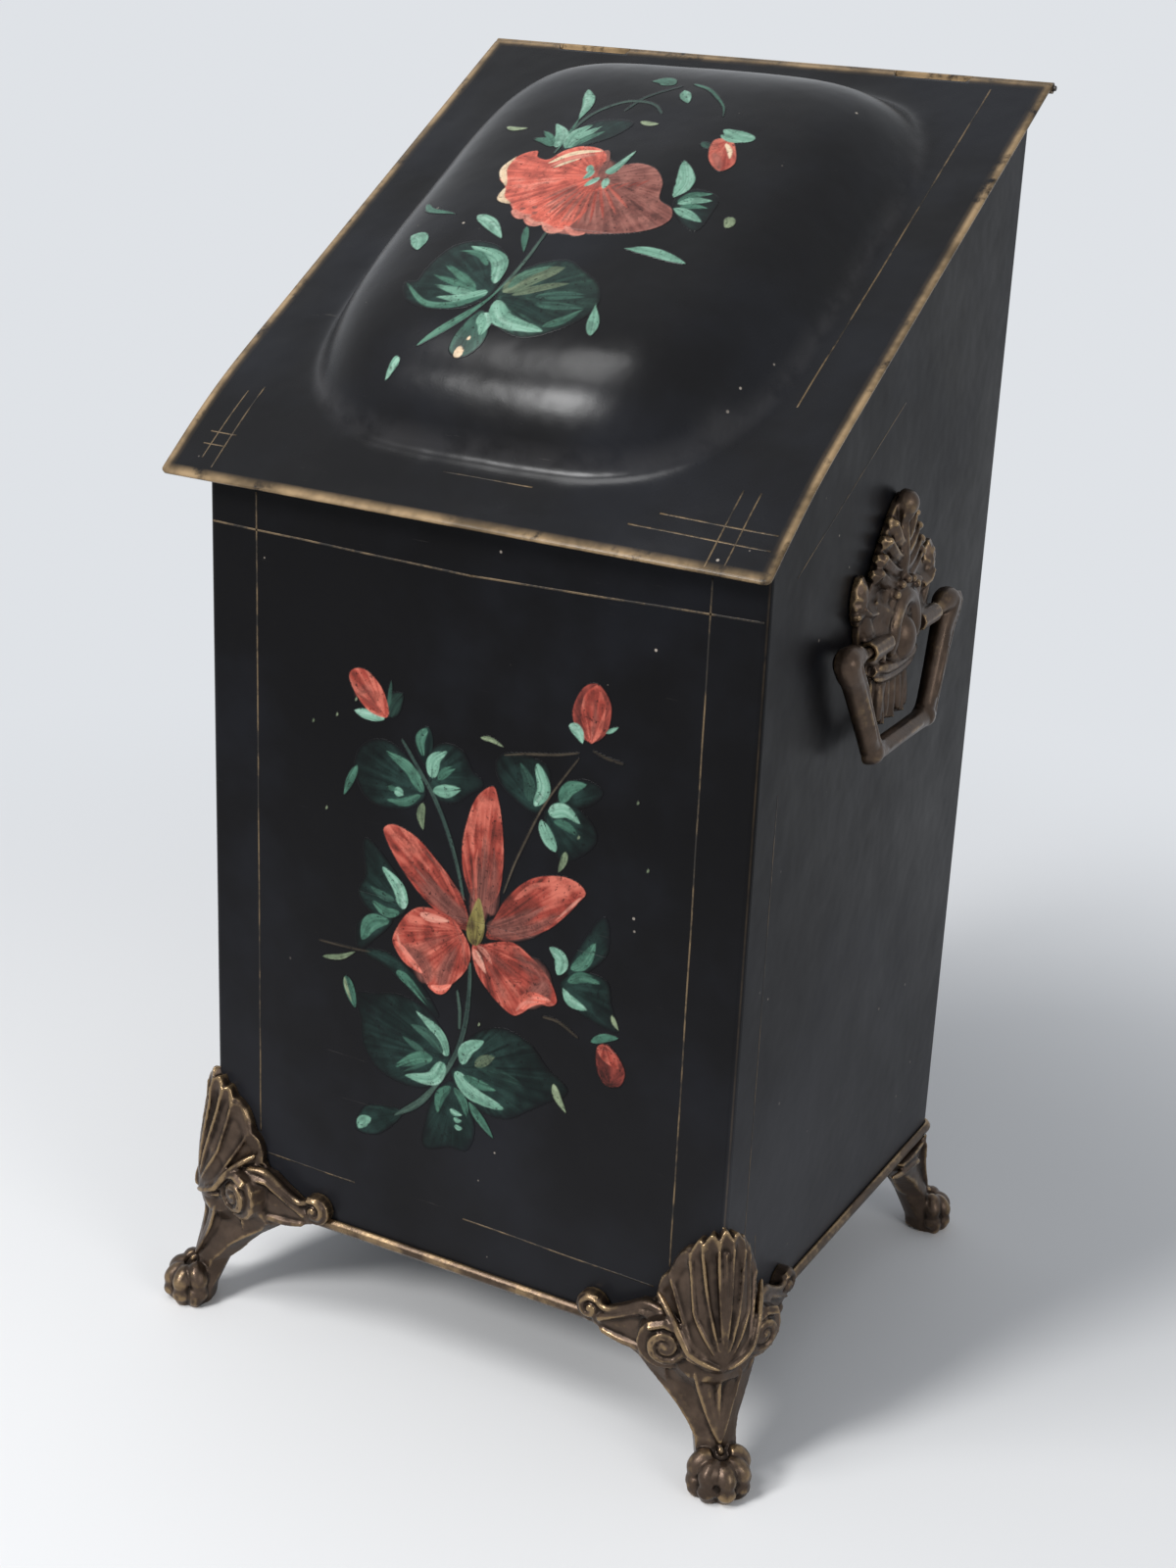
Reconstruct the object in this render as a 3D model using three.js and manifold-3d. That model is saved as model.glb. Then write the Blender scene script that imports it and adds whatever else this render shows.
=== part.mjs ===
// A coal scuttle: a sheet-metal bin on four cast feet, with a domed lid hinged at the back
// and a cast drop handle on each side.
// Millimetres, +Z up. The front faces -Y and the handles are on +X and -X.
// The origin is on the floor, under the middle of the whole; the bin itself is centred a little
// behind it, because the front feet reach out further than the rear ones.

import * as THREE from "three";
import { mergeVertices } from "three/addons/utils/BufferGeometryUtils.js";
import Module from "manifold-3d";

const wasm = await Module();
wasm.setup();

// ---------------------------------------------------------------- driving dimensions

const GAP = 0.3; // air between pieces that touch

const BODY = {
  width: 300,
  depth: 277,
  bottom: 67, // height of the bin's bottom edge above the floor
  sheet: 1.2,
  fold: 3, // outer radius of the folded corners
  hem: 9, // height of the folded-in hem under the lid
  flange: 14, // width of the back panel's side flanges
};

const HINGE = {
  y: BODY.depth / 2 + 0.7,
  z: 649,
  pin: 1.3,
  bore: 1.75,
  knuckle: 2.7, // outer radius of the rolled knuckles
  seams: [77, 118, 160], // where the knuckles meet, out from the middle
  seamGap: 0.3,
  panelDrop: 5, // from the pin down to the back panel's edge between its knuckles
};

const LID = {
  halfWidth: 160,
  length: 355, // along the slope, from the pin to the lip
  slope: 30.6, // degrees below level
  lipSlope: 38.8,
  lipFrom: 262, // where the slope starts to steepen, along the slope
  lipTo: 342,
  sheet: 1.2,
  corner: 3,
};

const DOME = {
  halfWidth: 123,
  from: 28, // crease, along the slope from the pin
  to: 318,
  frontRadius: 70,
  backRadius: 55,
  shoulder: 64, // width over which the side rises
  rise: 38,
  crown: 4, // extra height at the middle
};

const RIM = { low: 63.5, high: 70.5, out: 3.4, lip: 2.5 };

const TRAY = { sheet: 1.2, upstand: 11 };

const FOOT = {
  wrap: 8, // radius of the casting's inner corner
  shellWidth: 34.5,
  shellHeight: 65,
  shellBase: 67, // height of the point from which the flutes fan out
  flutes: 9,
  edge: 4.5, // thickness at the shell's edge
  bulge: 9.5,
  volute: { along: 21, out: 14.5, up: 74, radius: 14.5, turn: 20 },
  scrollOut: 65.3,
  scrollUp: 75,
  scrollRadius: 8.4,
  rearSetback: 8.5, // how much further in the rear legs stand
  rearPaw: 0.9, // size of the rear paws against the front ones
  padReach: 49, // from the corner in under the bin, along the diagonal
  padThick: 8,
  boltIn: 38, // from the corner to the bolt, along the diagonal
};

const BOLT = { shaft: 2.2, hole: 2.65, head: 5, headHigh: 2.6, nut: 8, nutHigh: 3.6, tail: 3 };

const PLATE = {
  back: 4, // thickness of the backing
  collar: 389,
  hood: 407,
};

const BAIL = {
  axisOut: 9.4, // from the side wall to the pivots
  axisUp: 403,
  elbow: 65, // from the middle to each elbow
  drop: 51,
  lean: 4.4, // degrees out of plumb, where it rests on the strap
  prong: 2.7,
  socket: 3.1,
};

const SCREW = { shaft: 1.5, hole: 1.95, head: 4, headHigh: 2.2, heights: [444, 390], depth: 5 };

const halfWidth = BODY.width / 2;
const halfDepth = BODY.depth / 2;

// ---------------------------------------------------------------- making and joining solids

const V = (x, y, z) => new THREE.Vector3(x, y, z);
const { degToRad, lerp, smoothstep } = THREE.MathUtils;
const mix = (a, b, share) => a.clone().lerp(b, share);

function toSolid(geometry) {
  const bare = geometry.clone();
  bare.deleteAttribute("normal");
  bare.deleteAttribute("uv");
  const merged = mergeVertices(bare, 1e-4);
  return new wasm.Manifold(
    new wasm.Mesh({
      numProp: 3,
      vertProperties: merged.attributes.position.array,
      triVerts: new Uint32Array(merged.index.array),
    }),
  );
}

function toGeometry(solid) {
  const made = solid.getMesh();
  const geometry = new THREE.BufferGeometry();
  geometry.setAttribute("position", new THREE.BufferAttribute(made.vertProperties, 3));
  geometry.setIndex(new THREE.BufferAttribute(made.triVerts, 1));
  return geometry;
}

const joined = (...solids) => solids.flat().reduce((sum, next) => sum.add(next));
const cut = (solid, ...tools) => tools.flat().reduce((left, tool) => left.subtract(tool), solid);

// A closed surface from points and triangles, turned so that its faces point outwards.
function closedSurface(points, faces) {
  let volume = 0;
  for (const [a, b, c] of faces) volume += points[a].dot(points[b].clone().cross(points[c]));
  const order = volume < 0 ? faces.map(([a, b, c]) => [a, c, b]) : faces;
  const geometry = new THREE.BufferGeometry().setFromPoints(points);
  geometry.setIndex(order.flat());
  return geometry;
}

const quad = (a, b, c, d) => [
  [a, b, c],
  [a, c, d],
];

// A loft through closed rings of equally many points, with each end closed by a fan.
function loft(rings) {
  const count = rings[0].length;
  const points = rings.flat();
  const faces = [];
  for (let r = 0; r + 1 < rings.length; r++) {
    for (let i = 0; i < count; i++) {
      const j = (i + 1) % count;
      faces.push(...quad(r * count + i, r * count + j, (r + 1) * count + j, (r + 1) * count + i));
    }
  }
  const last = (rings.length - 1) * count;
  for (const [start, flip] of [
    [0, true],
    [last, false],
  ]) {
    const middle = points.length;
    const ring = points.slice(start, start + count);
    points.push(ring.reduce((sum, p) => sum.add(p), V(0, 0, 0)).divideScalar(count));
    for (let i = 0; i < count; i++) {
      const j = (i + 1) % count;
      faces.push(flip ? [middle, start + j, start + i] : [middle, start + i, start + j]);
    }
  }
  return toSolid(closedSurface(points, faces));
}

// An outline of [y, z] points, drawn out from x0 to x1.
function prismAcross(outline, x0, x1) {
  const shape = new THREE.Shape(outline.map(([y, z]) => new THREE.Vector2(y, z)));
  const geometry = new THREE.ExtrudeGeometry(shape, { depth: x1 - x0, bevelEnabled: false });
  geometry.applyMatrix4(new THREE.Matrix4().makeBasis(V(0, 1, 0), V(0, 0, 1), V(1, 0, 0)));
  return toSolid(geometry.translate(x0, 0, 0));
}

// An outline of [x, y] points, drawn up from z0 to z1.
function prismUp(outline, z0, z1) {
  const shape = new THREE.Shape(outline.map(([x, y]) => new THREE.Vector2(x, y)));
  const geometry = new THREE.ExtrudeGeometry(shape, { depth: z1 - z0, bevelEnabled: false });
  return toSolid(geometry.translate(0, 0, z0));
}

function box(low, high) {
  const size = high.map((h, i) => h - low[i]);
  const geometry = new THREE.BoxGeometry(...size);
  return toSolid(geometry.translate(...high.map((h, i) => (h + low[i]) / 2)));
}

function rod(from, to, radius, sides = 12) {
  const along = to.clone().sub(from);
  const geometry = new THREE.CylinderGeometry(radius, radius, along.length(), sides);
  const turn = new THREE.Quaternion().setFromUnitVectors(V(0, 1, 0), along.normalize());
  geometry.applyQuaternion(turn);
  const middle = mix(from, to, 0.5);
  return toSolid(geometry.translate(middle.x, middle.y, middle.z));
}

function ball(centre, radii, around = 12, down = 8) {
  const geometry = new THREE.SphereGeometry(1, around, down);
  geometry.scale(...radii);
  return toSolid(geometry.translate(centre.x, centre.y, centre.z));
}

function roundedRectangle(halfX, halfY, radius, steps = 4) {
  const outline = [];
  for (let corner = 0; corner < 4; corner++) {
    const sx = corner === 0 || corner === 3 ? 1 : -1;
    const sy = corner < 2 ? 1 : -1;
    for (let k = 0; k <= steps; k++) {
      const angle = ((corner + k / steps) * Math.PI) / 2;
      outline.push([
        sx * (halfX - radius) + radius * Math.cos(angle),
        sy * (halfY - radius) + radius * Math.sin(angle),
      ]);
    }
  }
  return outline;
}

// ---------------------------------------------------------------- relief work on a wall
// "place" turns (along, up, out) on a wall into a point in space.

const WALL_DEPTH = -2.5; // relief solids start this far behind the wall, and are trimmed later

const evenAngles = (count) => Array.from({ length: count }, (_, i) => (2 * Math.PI * i) / count);

// A raised form around a centre: outline(angle) gives its reach, and height(share, angle)
// how far it stands out.
function boss(place, centre, outline, height, angles, shares, depth = WALL_DEPTH) {
  const [w0, z0] = centre;
  const columns = angles.length;
  const points = [place(w0, z0, height(0, Math.PI / 2))];
  const rows = [...shares, 1];
  const addRing = (share, out) => {
    for (const angle of angles) {
      const reach = outline(angle) * share;
      points.push(
        place(w0 + reach * Math.cos(angle), z0 + reach * Math.sin(angle), out ?? height(share, angle)),
      );
    }
  };
  for (const share of shares) addRing(share);
  addRing(1, depth);
  points.push(place(w0, z0, depth * 1.5));
  const apex = points.length - 1;
  const faces = [];
  for (let i = 0; i < columns; i++) {
    const j = (i + 1) % columns;
    faces.push([0, 1 + i, 1 + j]);
    for (let r = 0; r + 1 < rows.length; r++) {
      const near = 1 + r * columns;
      const far = near + columns;
      faces.push(...quad(near + i, far + i, far + j, near + j));
    }
    const rim = 1 + shares.length * columns;
    faces.push([rim + i, apex, rim + j]);
  }
  return toSolid(closedSurface(points, faces));
}

// A rounded ridge along a path of [along, up, out] points, with a radius for each.
function ridge(place, path, radii, sides = 4) {
  const centres = path.map((p) => place(...p));
  const rings = centres.map((centre, i) => {
    const [w, z, out] = path[i];
    const before = centres[Math.max(i - 1, 0)];
    const after = centres[Math.min(i + 1, centres.length - 1)];
    const tangent = after.clone().sub(before).normalize();
    const outward = place(w, z, out + 1).sub(centre);
    const side = tangent.clone().cross(outward).normalize();
    const up = side.clone().cross(tangent).normalize();
    return Array.from({ length: sides }, (_, k) => {
      const angle = Math.PI / 2 + (2 * Math.PI * k) / sides;
      return centre
        .clone()
        .addScaledVector(side, radii[i] * Math.cos(angle))
        .addScaledVector(up, radii[i] * Math.sin(angle));
    });
  });
  return loft(rings);
}

// A spiral ridge that winds in from its rim. "turn" is +1 or -1, "start" the angle of its outer end.
function volute(place, [w0, z0], { radius, out, turns, steps, thick, start, turn }) {
  const path = [];
  const radii = [];
  for (let i = 0; i <= steps; i++) {
    const share = i / steps;
    const angle = start + turn * 2 * Math.PI * turns * share;
    const reach = lerp(radius, radius * 0.14, share ** 0.85);
    path.push([w0 + reach * Math.cos(angle), z0 + reach * Math.sin(angle), out + 1.2 * share]);
    radii.push(lerp(thick, thick * 0.55, share));
  }
  return ridge(place, path, radii);
}

// A band that runs along a wall. Each station is [along, low edge, high edge, edge thickness, bulge].
function band(place, stations) {
  const across = [0, 0.2, 0.5, 0.8, 1];
  const rings = stations.map(([w, low, high, edge, bulge]) => [
    place(w, low, WALL_DEPTH),
    ...across.map((v) => place(w, lerp(low, high, v), edge + bulge * Math.sin(Math.PI * v))),
    place(w, high, WALL_DEPTH),
  ]);
  return loft(rings);
}

// ---------------------------------------------------------------- lid surface

// The lid's top line from the side: points every millimetre along the slope, with their slopes.
const lidLine = (() => {
  const start = degToRad(LID.slope);
  const line = [
    {
      y: HINGE.y - Math.sin(start) * HINGE.knuckle,
      z: HINGE.z + Math.cos(start) * HINGE.knuckle,
      slope: start,
    },
  ];
  for (let s = 1; s <= LID.length + 2; s++) {
    const slope = degToRad(lerp(LID.slope, LID.lipSlope, smoothstep(s, LID.lipFrom, LID.lipTo)));
    const last = line[s - 1];
    line.push({ y: last.y - Math.cos(slope), z: last.z - Math.sin(slope), slope });
  }
  return line;
})();

// A point of the lid: x across, s down the slope, h above the flat of the lid.
function onLid(x, s, h) {
  const low = Math.min(Math.floor(s), lidLine.length - 2);
  const [a, b] = [lidLine[low], lidLine[low + 1]];
  const slope = lerp(a.slope, b.slope, s - low);
  return V(
    x,
    lerp(a.y, b.y, s - low) - h * Math.sin(slope),
    lerp(a.z, b.z, s - low) + h * Math.cos(slope),
  );
}

// The lid's underside seen from the side, "below" it by a clearance, as [y, z] points.
function lidUnderside(below) {
  const steps = [0, 150, 262, 276, 290, 304, 318, 332, LID.length];
  return steps.map((s) => {
    const p = onLid(0, s, -LID.sheet - below);
    return [p.y, p.z];
  });
}

// How the points of a ring are shared out along its sides: close together where the lid bends.
const SIDE_SHARES = [0.97, 0.93, 0.885, 0.845, 0.8, 0.55, 0.3, 0.11];
const END_SHARES = [0.2, 0.4, 0.6, 0.8];

// One ring of the lid's surface, around a rounded rectangle.
function lidRing(halfX, sLow, sHigh, frontRadius, backRadius) {
  const arcSteps = 5;
  const corners = [
    [halfX - frontRadius, sHigh - frontRadius, frontRadius],
    [frontRadius - halfX, sHigh - frontRadius, frontRadius],
    [backRadius - halfX, sLow + backRadius, backRadius],
    [halfX - backRadius, sLow + backRadius, backRadius],
  ];
  const arcs = corners.map(([x, s, radius], q) =>
    Array.from({ length: arcSteps + 1 }, (_, k) => {
      const angle = ((q + k / arcSteps) * Math.PI) / 2;
      return [x + radius * Math.cos(angle), s + radius * Math.sin(angle)];
    }),
  );
  const sharesAfter = [
    END_SHARES,
    SIDE_SHARES.map((share) => 1 - share),
    END_SHARES,
    SIDE_SHARES.toReversed(),
  ];
  return arcs.flatMap((arc, q) => {
    const from = arc[arcSteps];
    const to = arcs[(q + 1) % 4][0];
    const side = sharesAfter[q].map((share) => [lerp(from[0], to[0], share), lerp(from[1], to[1], share)]);
    return [...arc, ...side];
  });
}

function domeHeight(inset) {
  const share = Math.min(inset / DOME.shoulder, 1);
  return DOME.rise * Math.sin((share * Math.PI) / 2) ** 1.15;
}

// The pressed sheet: its top surface and the same surface one sheet lower, joined round the edge.
function lidSheet() {
  const rings = [];
  const add = (halfX, sLow, sHigh, front, back, height) =>
    rings.push({ ring: lidRing(halfX, sLow, sHigh, front, back), height });
  add(LID.halfWidth, 0, LID.length, LID.corner, LID.corner, 0);
  add(146.5, 8, 347, 12, 10, 0);
  add(136, 17, 333, 20, 24, 0);
  for (const inset of [0, 6, 15, 27, 43, DOME.shoulder]) {
    add(
      DOME.halfWidth - inset,
      DOME.from + inset,
      DOME.to - inset,
      Math.max(DOME.frontRadius - inset, 10),
      Math.max(DOME.backRadius - inset, 10),
      domeHeight(inset),
    );
  }
  add(30, 135, 211, 10, 10, DOME.rise + DOME.crown * 0.75);
  const count = rings[0].ring.length;
  const middle = (DOME.from + DOME.to) / 2;
  const surface = (drop) => [
    ...rings.flatMap(({ ring, height }) => ring.map(([x, s]) => onLid(x, s, height - drop))),
    onLid(0, middle, DOME.rise + DOME.crown - drop),
  ];
  const upper = surface(0);
  const points = [...upper, ...surface(LID.sheet)];
  const centre = upper.length - 1;
  const faces = [];
  for (const [base, flip] of [
    [0, false],
    [upper.length, true],
  ]) {
    const add3 = (a, b, c) => faces.push(flip ? [a, c, b] : [a, b, c]);
    for (let r = 0; r + 1 < rings.length; r++) {
      for (let i = 0; i < count; i++) {
        const j = (i + 1) % count;
        const near = base + r * count;
        const far = near + count;
        add3(near + i, near + j, far + j);
        add3(near + i, far + j, far + i);
      }
    }
    const inner = base + (rings.length - 1) * count;
    for (let i = 0; i < count; i++) add3(inner + i, inner + ((i + 1) % count), base + centre);
  }
  for (let i = 0; i < count; i++) {
    const j = (i + 1) % count;
    faces.push(...quad(j, i, upper.length + i, upper.length + j));
  }
  return toSolid(closedSurface(points, faces));
}

// ---------------------------------------------------------------- hinge

const pinAt = (x) => V(x, HINGE.y, HINGE.z);

// The five knuckles from left to right, alternately the lid's and the back panel's.
const knuckleSpans = (() => {
  const [inner, middle, outer] = HINGE.seams;
  const ends = [-outer, -middle, -inner, inner, middle, outer];
  return ends.slice(1).map((end, i) => [ends[i] + HINGE.seamGap / 2, end - HINGE.seamGap / 2]);
})();
const lidKnuckles = knuckleSpans.filter((_, i) => i % 2 === 0);
const panelKnuckles = knuckleSpans.filter((_, i) => i % 2 === 1);

const pinBore = rod(pinAt(-LID.halfWidth - 10), pinAt(LID.halfWidth + 10), HINGE.bore, 16);
const knuckle = ([x0, x1]) => rod(pinAt(x0), pinAt(x1), HINGE.knuckle, 16);

function lidPanel() {
  const notches = panelKnuckles.map(([x0, x1]) =>
    rod(pinAt(x0 - HINGE.seamGap), pinAt(x1 + HINGE.seamGap), HINGE.knuckle + 0.9, 16),
  );
  const sheet = cut(lidSheet(), notches);
  return cut(joined(sheet, lidKnuckles.map(knuckle)), pinBore);
}

function hingePin() {
  const reach = LID.halfWidth + 1.5;
  return rod(pinAt(-reach), pinAt(reach), HINGE.pin, 12);
}

// ---------------------------------------------------------------- sheet-metal bin

// Everything above the lid's underside, to trim what stands under the lid.
function spaceAboveLid(below) {
  const line = lidUnderside(below);
  const far = 200;
  const [front, back] = [line[line.length - 1], line[0]];
  return prismAcross(
    [...line, [front[0] - far, front[1] - far * 0.9], [-far * 2, 900], [far * 2, 900], [far * 2, back[1]]],
    -far,
    far,
  );
}

const screwSpots = [-1, 1].flatMap((side) => SCREW.heights.map((z) => ({ side, z })));

function screwHole(side, z, radius) {
  return rod(V(side * (halfWidth - 6), 0, z), V(side * (halfWidth + SCREW.depth), 0, z), radius, 12);
}

// One sheet folded round the front and both sides, open at the back.
function bodyWrap() {
  const inner = BODY.sheet;
  const high = HINGE.z + 20;
  const outline = roundedRectangle(halfWidth, halfDepth, BODY.fold);
  const hollow = roundedRectangle(halfWidth - inner, halfDepth - inner, BODY.fold - inner);
  const walls = cut(
    prismUp(outline, BODY.bottom, high),
    prismUp(hollow, BODY.bottom - 1, high + 1),
    box([-halfWidth - 1, halfDepth - BODY.fold - 1, 0], [halfWidth + 1, halfDepth + 1, high + 1]),
  );
  // the walls run on to the back panel's face, past the cut-away back wall
  const ends = [-1, 1].map((side) => {
    const faces = [side * halfWidth, side * (halfWidth - inner)].sort((a, b) => a - b);
    return box(
      [faces[0], halfDepth - BODY.fold - 1.5, BODY.bottom],
      [faces[1], halfDepth, HINGE.z - HINGE.panelDrop],
    );
  });
  const under = lidUnderside(0.4);
  const lower = under.map(([y, z]) => [y, z - BODY.hem]).reverse();
  const hemReach = box([-halfWidth, -halfDepth + 4, 0], [halfWidth, halfDepth - BODY.flange - 4, high]);
  const hems = [-1, 1].map((side) => {
    const faces = [side * (halfWidth - inner + 0.1), side * (halfWidth - 2 * inner)].sort((a, b) => a - b);
    return prismAcross([...under, ...lower], faces[0], faces[1]).intersect(hemReach);
  });
  const beadZ = onLid(0, 326, -LID.sheet).z - 5;
  const bead = rod(
    V(-halfWidth + 5, -halfDepth + inner + 1, beadZ),
    V(halfWidth - 5, -halfDepth + inner + 1, beadZ),
    2,
    10,
  );
  const shell = joined(walls, ends, hems).intersect(prismUp(outline, 0, high));
  const solid = cut(shell, spaceAboveLid(0.4));
  const holes = screwSpots.map(({ side, z }) => screwHole(side, z, SCREW.hole));
  return cut(joined(solid, bead), holes);
}

// The back sheet, with a flange inside each side wall and two tabs rolled round the pin.
function backPanel() {
  const sheet = BODY.sheet;
  const out = halfWidth - sheet - GAP;
  const inner = halfDepth - sheet;
  const top = HINGE.z - HINGE.panelDrop;
  const web = box([-out, inner, BODY.bottom + 2], [out, halfDepth, top]).intersect(
    prismUp(roundedRectangle(halfWidth, halfDepth, BODY.fold), 0, top + 1),
  );
  const flanges = [-1, 1].map((side) => {
    const faces = [side * out, side * (out - sheet)].sort((a, b) => a - b);
    return box([faces[0], halfDepth - BODY.flange, BODY.bottom + 2 + TRAY.upstand + 2], [faces[1], halfDepth, top - 2]);
  });
  const tabs = panelKnuckles.map(([x0, x1]) =>
    box([x0, inner, top - 1], [x1, halfDepth, HINGE.z]),
  );
  const solid = joined(web, flanges, tabs, panelKnuckles.map(knuckle));
  const trimmed = cut(solid, pinBore);
  const corner = spaceAboveLid(0.4).intersect(box([-300, -300, 0], [300, halfDepth - sheet, 900]));
  return cut(trimmed, corner);
}

const corners = [
  { name: "front_left", sx: -1, sy: -1 },
  { name: "front_right", sx: 1, sy: -1 },
  { name: "rear_left", sx: -1, sy: 1 },
  { name: "rear_right", sx: 1, sy: 1 },
];

function boltSpot({ sx, sy }) {
  const inset = FOOT.boltIn * Math.SQRT1_2;
  return [sx * (halfWidth - inset), sy * (halfDepth - inset)];
}

function boltHole(corner) {
  const [x, y] = boltSpot(corner);
  return rod(V(x, y, 40), V(x, y, BODY.bottom + 20), BOLT.hole, 12);
}

// The floor of the bin: a tray with an upstand all round.
function bottomPlate() {
  const outX = halfWidth - BODY.sheet - GAP;
  const outY = halfDepth - BODY.sheet - GAP;
  const radius = 2;
  const high = BODY.bottom + TRAY.upstand;
  const outer = prismUp(roundedRectangle(outX, outY, radius), BODY.bottom, high);
  const hollow = prismUp(
    roundedRectangle(outX - TRAY.sheet, outY - TRAY.sheet, radius - TRAY.sheet * 0.9),
    BODY.bottom + TRAY.sheet,
    high + 1,
  );
  return cut(outer, hollow, corners.map(boltHole));
}

// The half-round bead under the bin's bottom edge. "grow" swells it, to make room for it in the feet.
function rimSection(grow) {
  const { low, high, out, lip } = RIM;
  const middle = (low + high) / 2;
  const face = GAP - grow;
  const round = [60, 20, -20, -60].map((degrees) => {
    const angle = degToRad(degrees);
    return [face + (out + 2 * grow) * Math.cos(angle), middle + ((high - low) / 2 + grow) * Math.sin(angle)];
  });
  return [
    [face, high + grow],
    ...round,
    [face, low - grow],
    [-lip - grow, low - grow],
    [-lip - grow, BODY.bottom - GAP + grow],
    [face, BODY.bottom - GAP + grow],
  ];
}

function rimHoop(grow) {
  const steps = 4;
  const radius = BODY.fold;
  const section = rimSection(grow);
  const rings = [];
  for (let corner = 0; corner < 4; corner++) {
    const sx = corner === 0 || corner === 3 ? 1 : -1;
    const sy = corner < 2 ? 1 : -1;
    for (let k = 0; k <= steps; k++) {
      const angle = ((corner + k / steps) * Math.PI) / 2;
      const [cx, cy] = [sx * (halfWidth - radius), sy * (halfDepth - radius)];
      rings.push(
        section.map(([out, z]) =>
          V(cx + (radius + out) * Math.cos(angle), cy + (radius + out) * Math.sin(angle), z),
        ),
      );
    }
  }
  const count = section.length;
  const faces = [];
  rings.forEach((_, r) => {
    const next = (r + 1) % rings.length;
    for (let i = 0; i < count; i++) {
      const j = (i + 1) % count;
      faces.push(...quad(r * count + i, r * count + j, next * count + j, next * count + i));
    }
  });
  return toSolid(closedSurface(rings.flat(), faces));
}

// ---------------------------------------------------------------- cast feet
// Every foot is made at the front right corner, and mirrored to its own.

// Along the wall from the folded corner (+ on the side, - on the front), up, and out from the wall.
function roundCorner(w, z, out) {
  const radius = FOOT.wrap;
  const quarter = (radius * Math.PI) / 4;
  const [cx, cy] = [halfWidth - radius, -halfDepth + radius];
  if (w > quarter) return V(halfWidth + out, cy + w - quarter, z);
  if (w < -quarter) return V(cx + w + quarter, -halfDepth - out, z);
  const angle = w / radius - Math.PI / 4;
  return V(cx + (radius + out) * Math.cos(angle), cy + (radius + out) * Math.sin(angle), z);
}

// Out from the corner along the diagonal, sideways from it, and up.
function onDiagonal(out, side, z) {
  return V(halfWidth + (out + side) * Math.SQRT1_2, -halfDepth + (side - out) * Math.SQRT1_2, z);
}

// The fluted shell over the corner.
function footShell() {
  const { shellWidth, shellHeight, flutes } = FOOT;
  const upper = Array.from({ length: flutes * 4 }, (_, i) => (Math.PI * i) / (flutes * 4));
  const lower = Array.from({ length: 8 }, (_, i) => Math.PI * (1 + i / 8));
  const fluteShare = (angle) => {
    const share = (angle / Math.PI) * flutes;
    return angle < Math.PI + 1e-6 ? share - Math.floor(share + 1e-6) : 0;
  };
  const outline = (angle) => {
    const height = Math.sin(angle) > 0 ? shellHeight : 20;
    const across = Math.abs(Math.cos(angle) / shellWidth) ** 1.75;
    const up = Math.abs(Math.sin(angle) / height) ** 1.75;
    return (across + up) ** (-1 / 1.75) * (1 + 0.05 * Math.sin(Math.PI * fluteShare(angle)));
  };
  const height = (share, angle) => {
    const base = FOOT.edge + FOOT.bulge * (1 - share ** 2);
    const curl = 1.6 * Math.max(0, Math.sin(angle)) ** 3 * smoothstep(share, 0.75, 0.95);
    return base + curl - 2.4 * share * Math.sin(Math.PI * fluteShare(angle));
  };
  return boss(roundCorner, [0, FOOT.shellBase], outline, height, [...upper, ...lower], [0.45, 0.75, 1]);
}

// A plane that stands off the wall beside the shell, turned towards the corner.
function volutePlane(side) {
  const { along, out, turn } = FOOT.volute;
  const angle = degToRad(turn);
  const onFront = (w, z, away) =>
    V(
      halfWidth - along - w * Math.cos(angle) + away * Math.sin(angle),
      -halfDepth - out - w * Math.sin(angle) - away * Math.cos(angle),
      z,
    );
  if (side < 0) return onFront;
  // the side wall's plane is the front's, mirrored across the diagonal
  return (w, z, away) => {
    const p = onFront(w, z, away);
    return V(halfWidth - halfDepth - p.y, halfWidth - halfDepth - p.x, z);
  };
}

// The scrolls on one wall: the volute beside the shell, and the wing that ends in a small scroll.
function footScrolls(side) {
  const big = [0, FOOT.volute.up];
  const small = [FOOT.scrollOut, FOOT.scrollUp];
  const nearShell = volutePlane(side);
  const onWall = (w, z, out) => roundCorner(side * w, z, out);
  const disc = (place, centre, radius, edge, rise, depth) =>
    boss(
      place,
      centre,
      () => radius,
      (share) => edge + rise * (1 - share ** 2),
      evenAngles(14),
      [1],
      depth,
    );
  const wing = band(onWall, [
    [20, 50, 85, 9, 3],
    [30, 54, 89.5, 7, 3],
    [38, 57, 88, 6, 3],
    [47, 61, 82, 5.5, 2.6],
    [56, 64, 77, 5.8, 2.2],
    [63, 66, 76, 6.2, 2],
  ]);
  const crest = ridge(
    onWall,
    [
      [19, 80, 13],
      [27, 85, 10.5],
      [36, 84.5, 8.6],
      [48, 77.5, 8],
      [60, 71, 8],
    ],
    [2.4, 3.2, 3, 2.4, 2],
  );
  return [
    wing,
    crest,
    disc(nearShell, big, FOOT.volute.radius, -1.2, 1.4, -16),
    volute(nearShell, big, {
      radius: FOOT.volute.radius - 1.6,
      out: 0,
      turns: 1.6,
      steps: 15,
      thick: 3,
      start: 0.8,
      turn: 1,
    }),
    disc(onWall, small, FOOT.scrollRadius, 6.4, 1),
    volute(onWall, small, {
      radius: FOOT.scrollRadius - 1.4,
      out: 7,
      turns: 1,
      steps: 8,
      thick: 2.4,
      start: 2.2,
      turn: -1,
    }),
  ];
}

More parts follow.
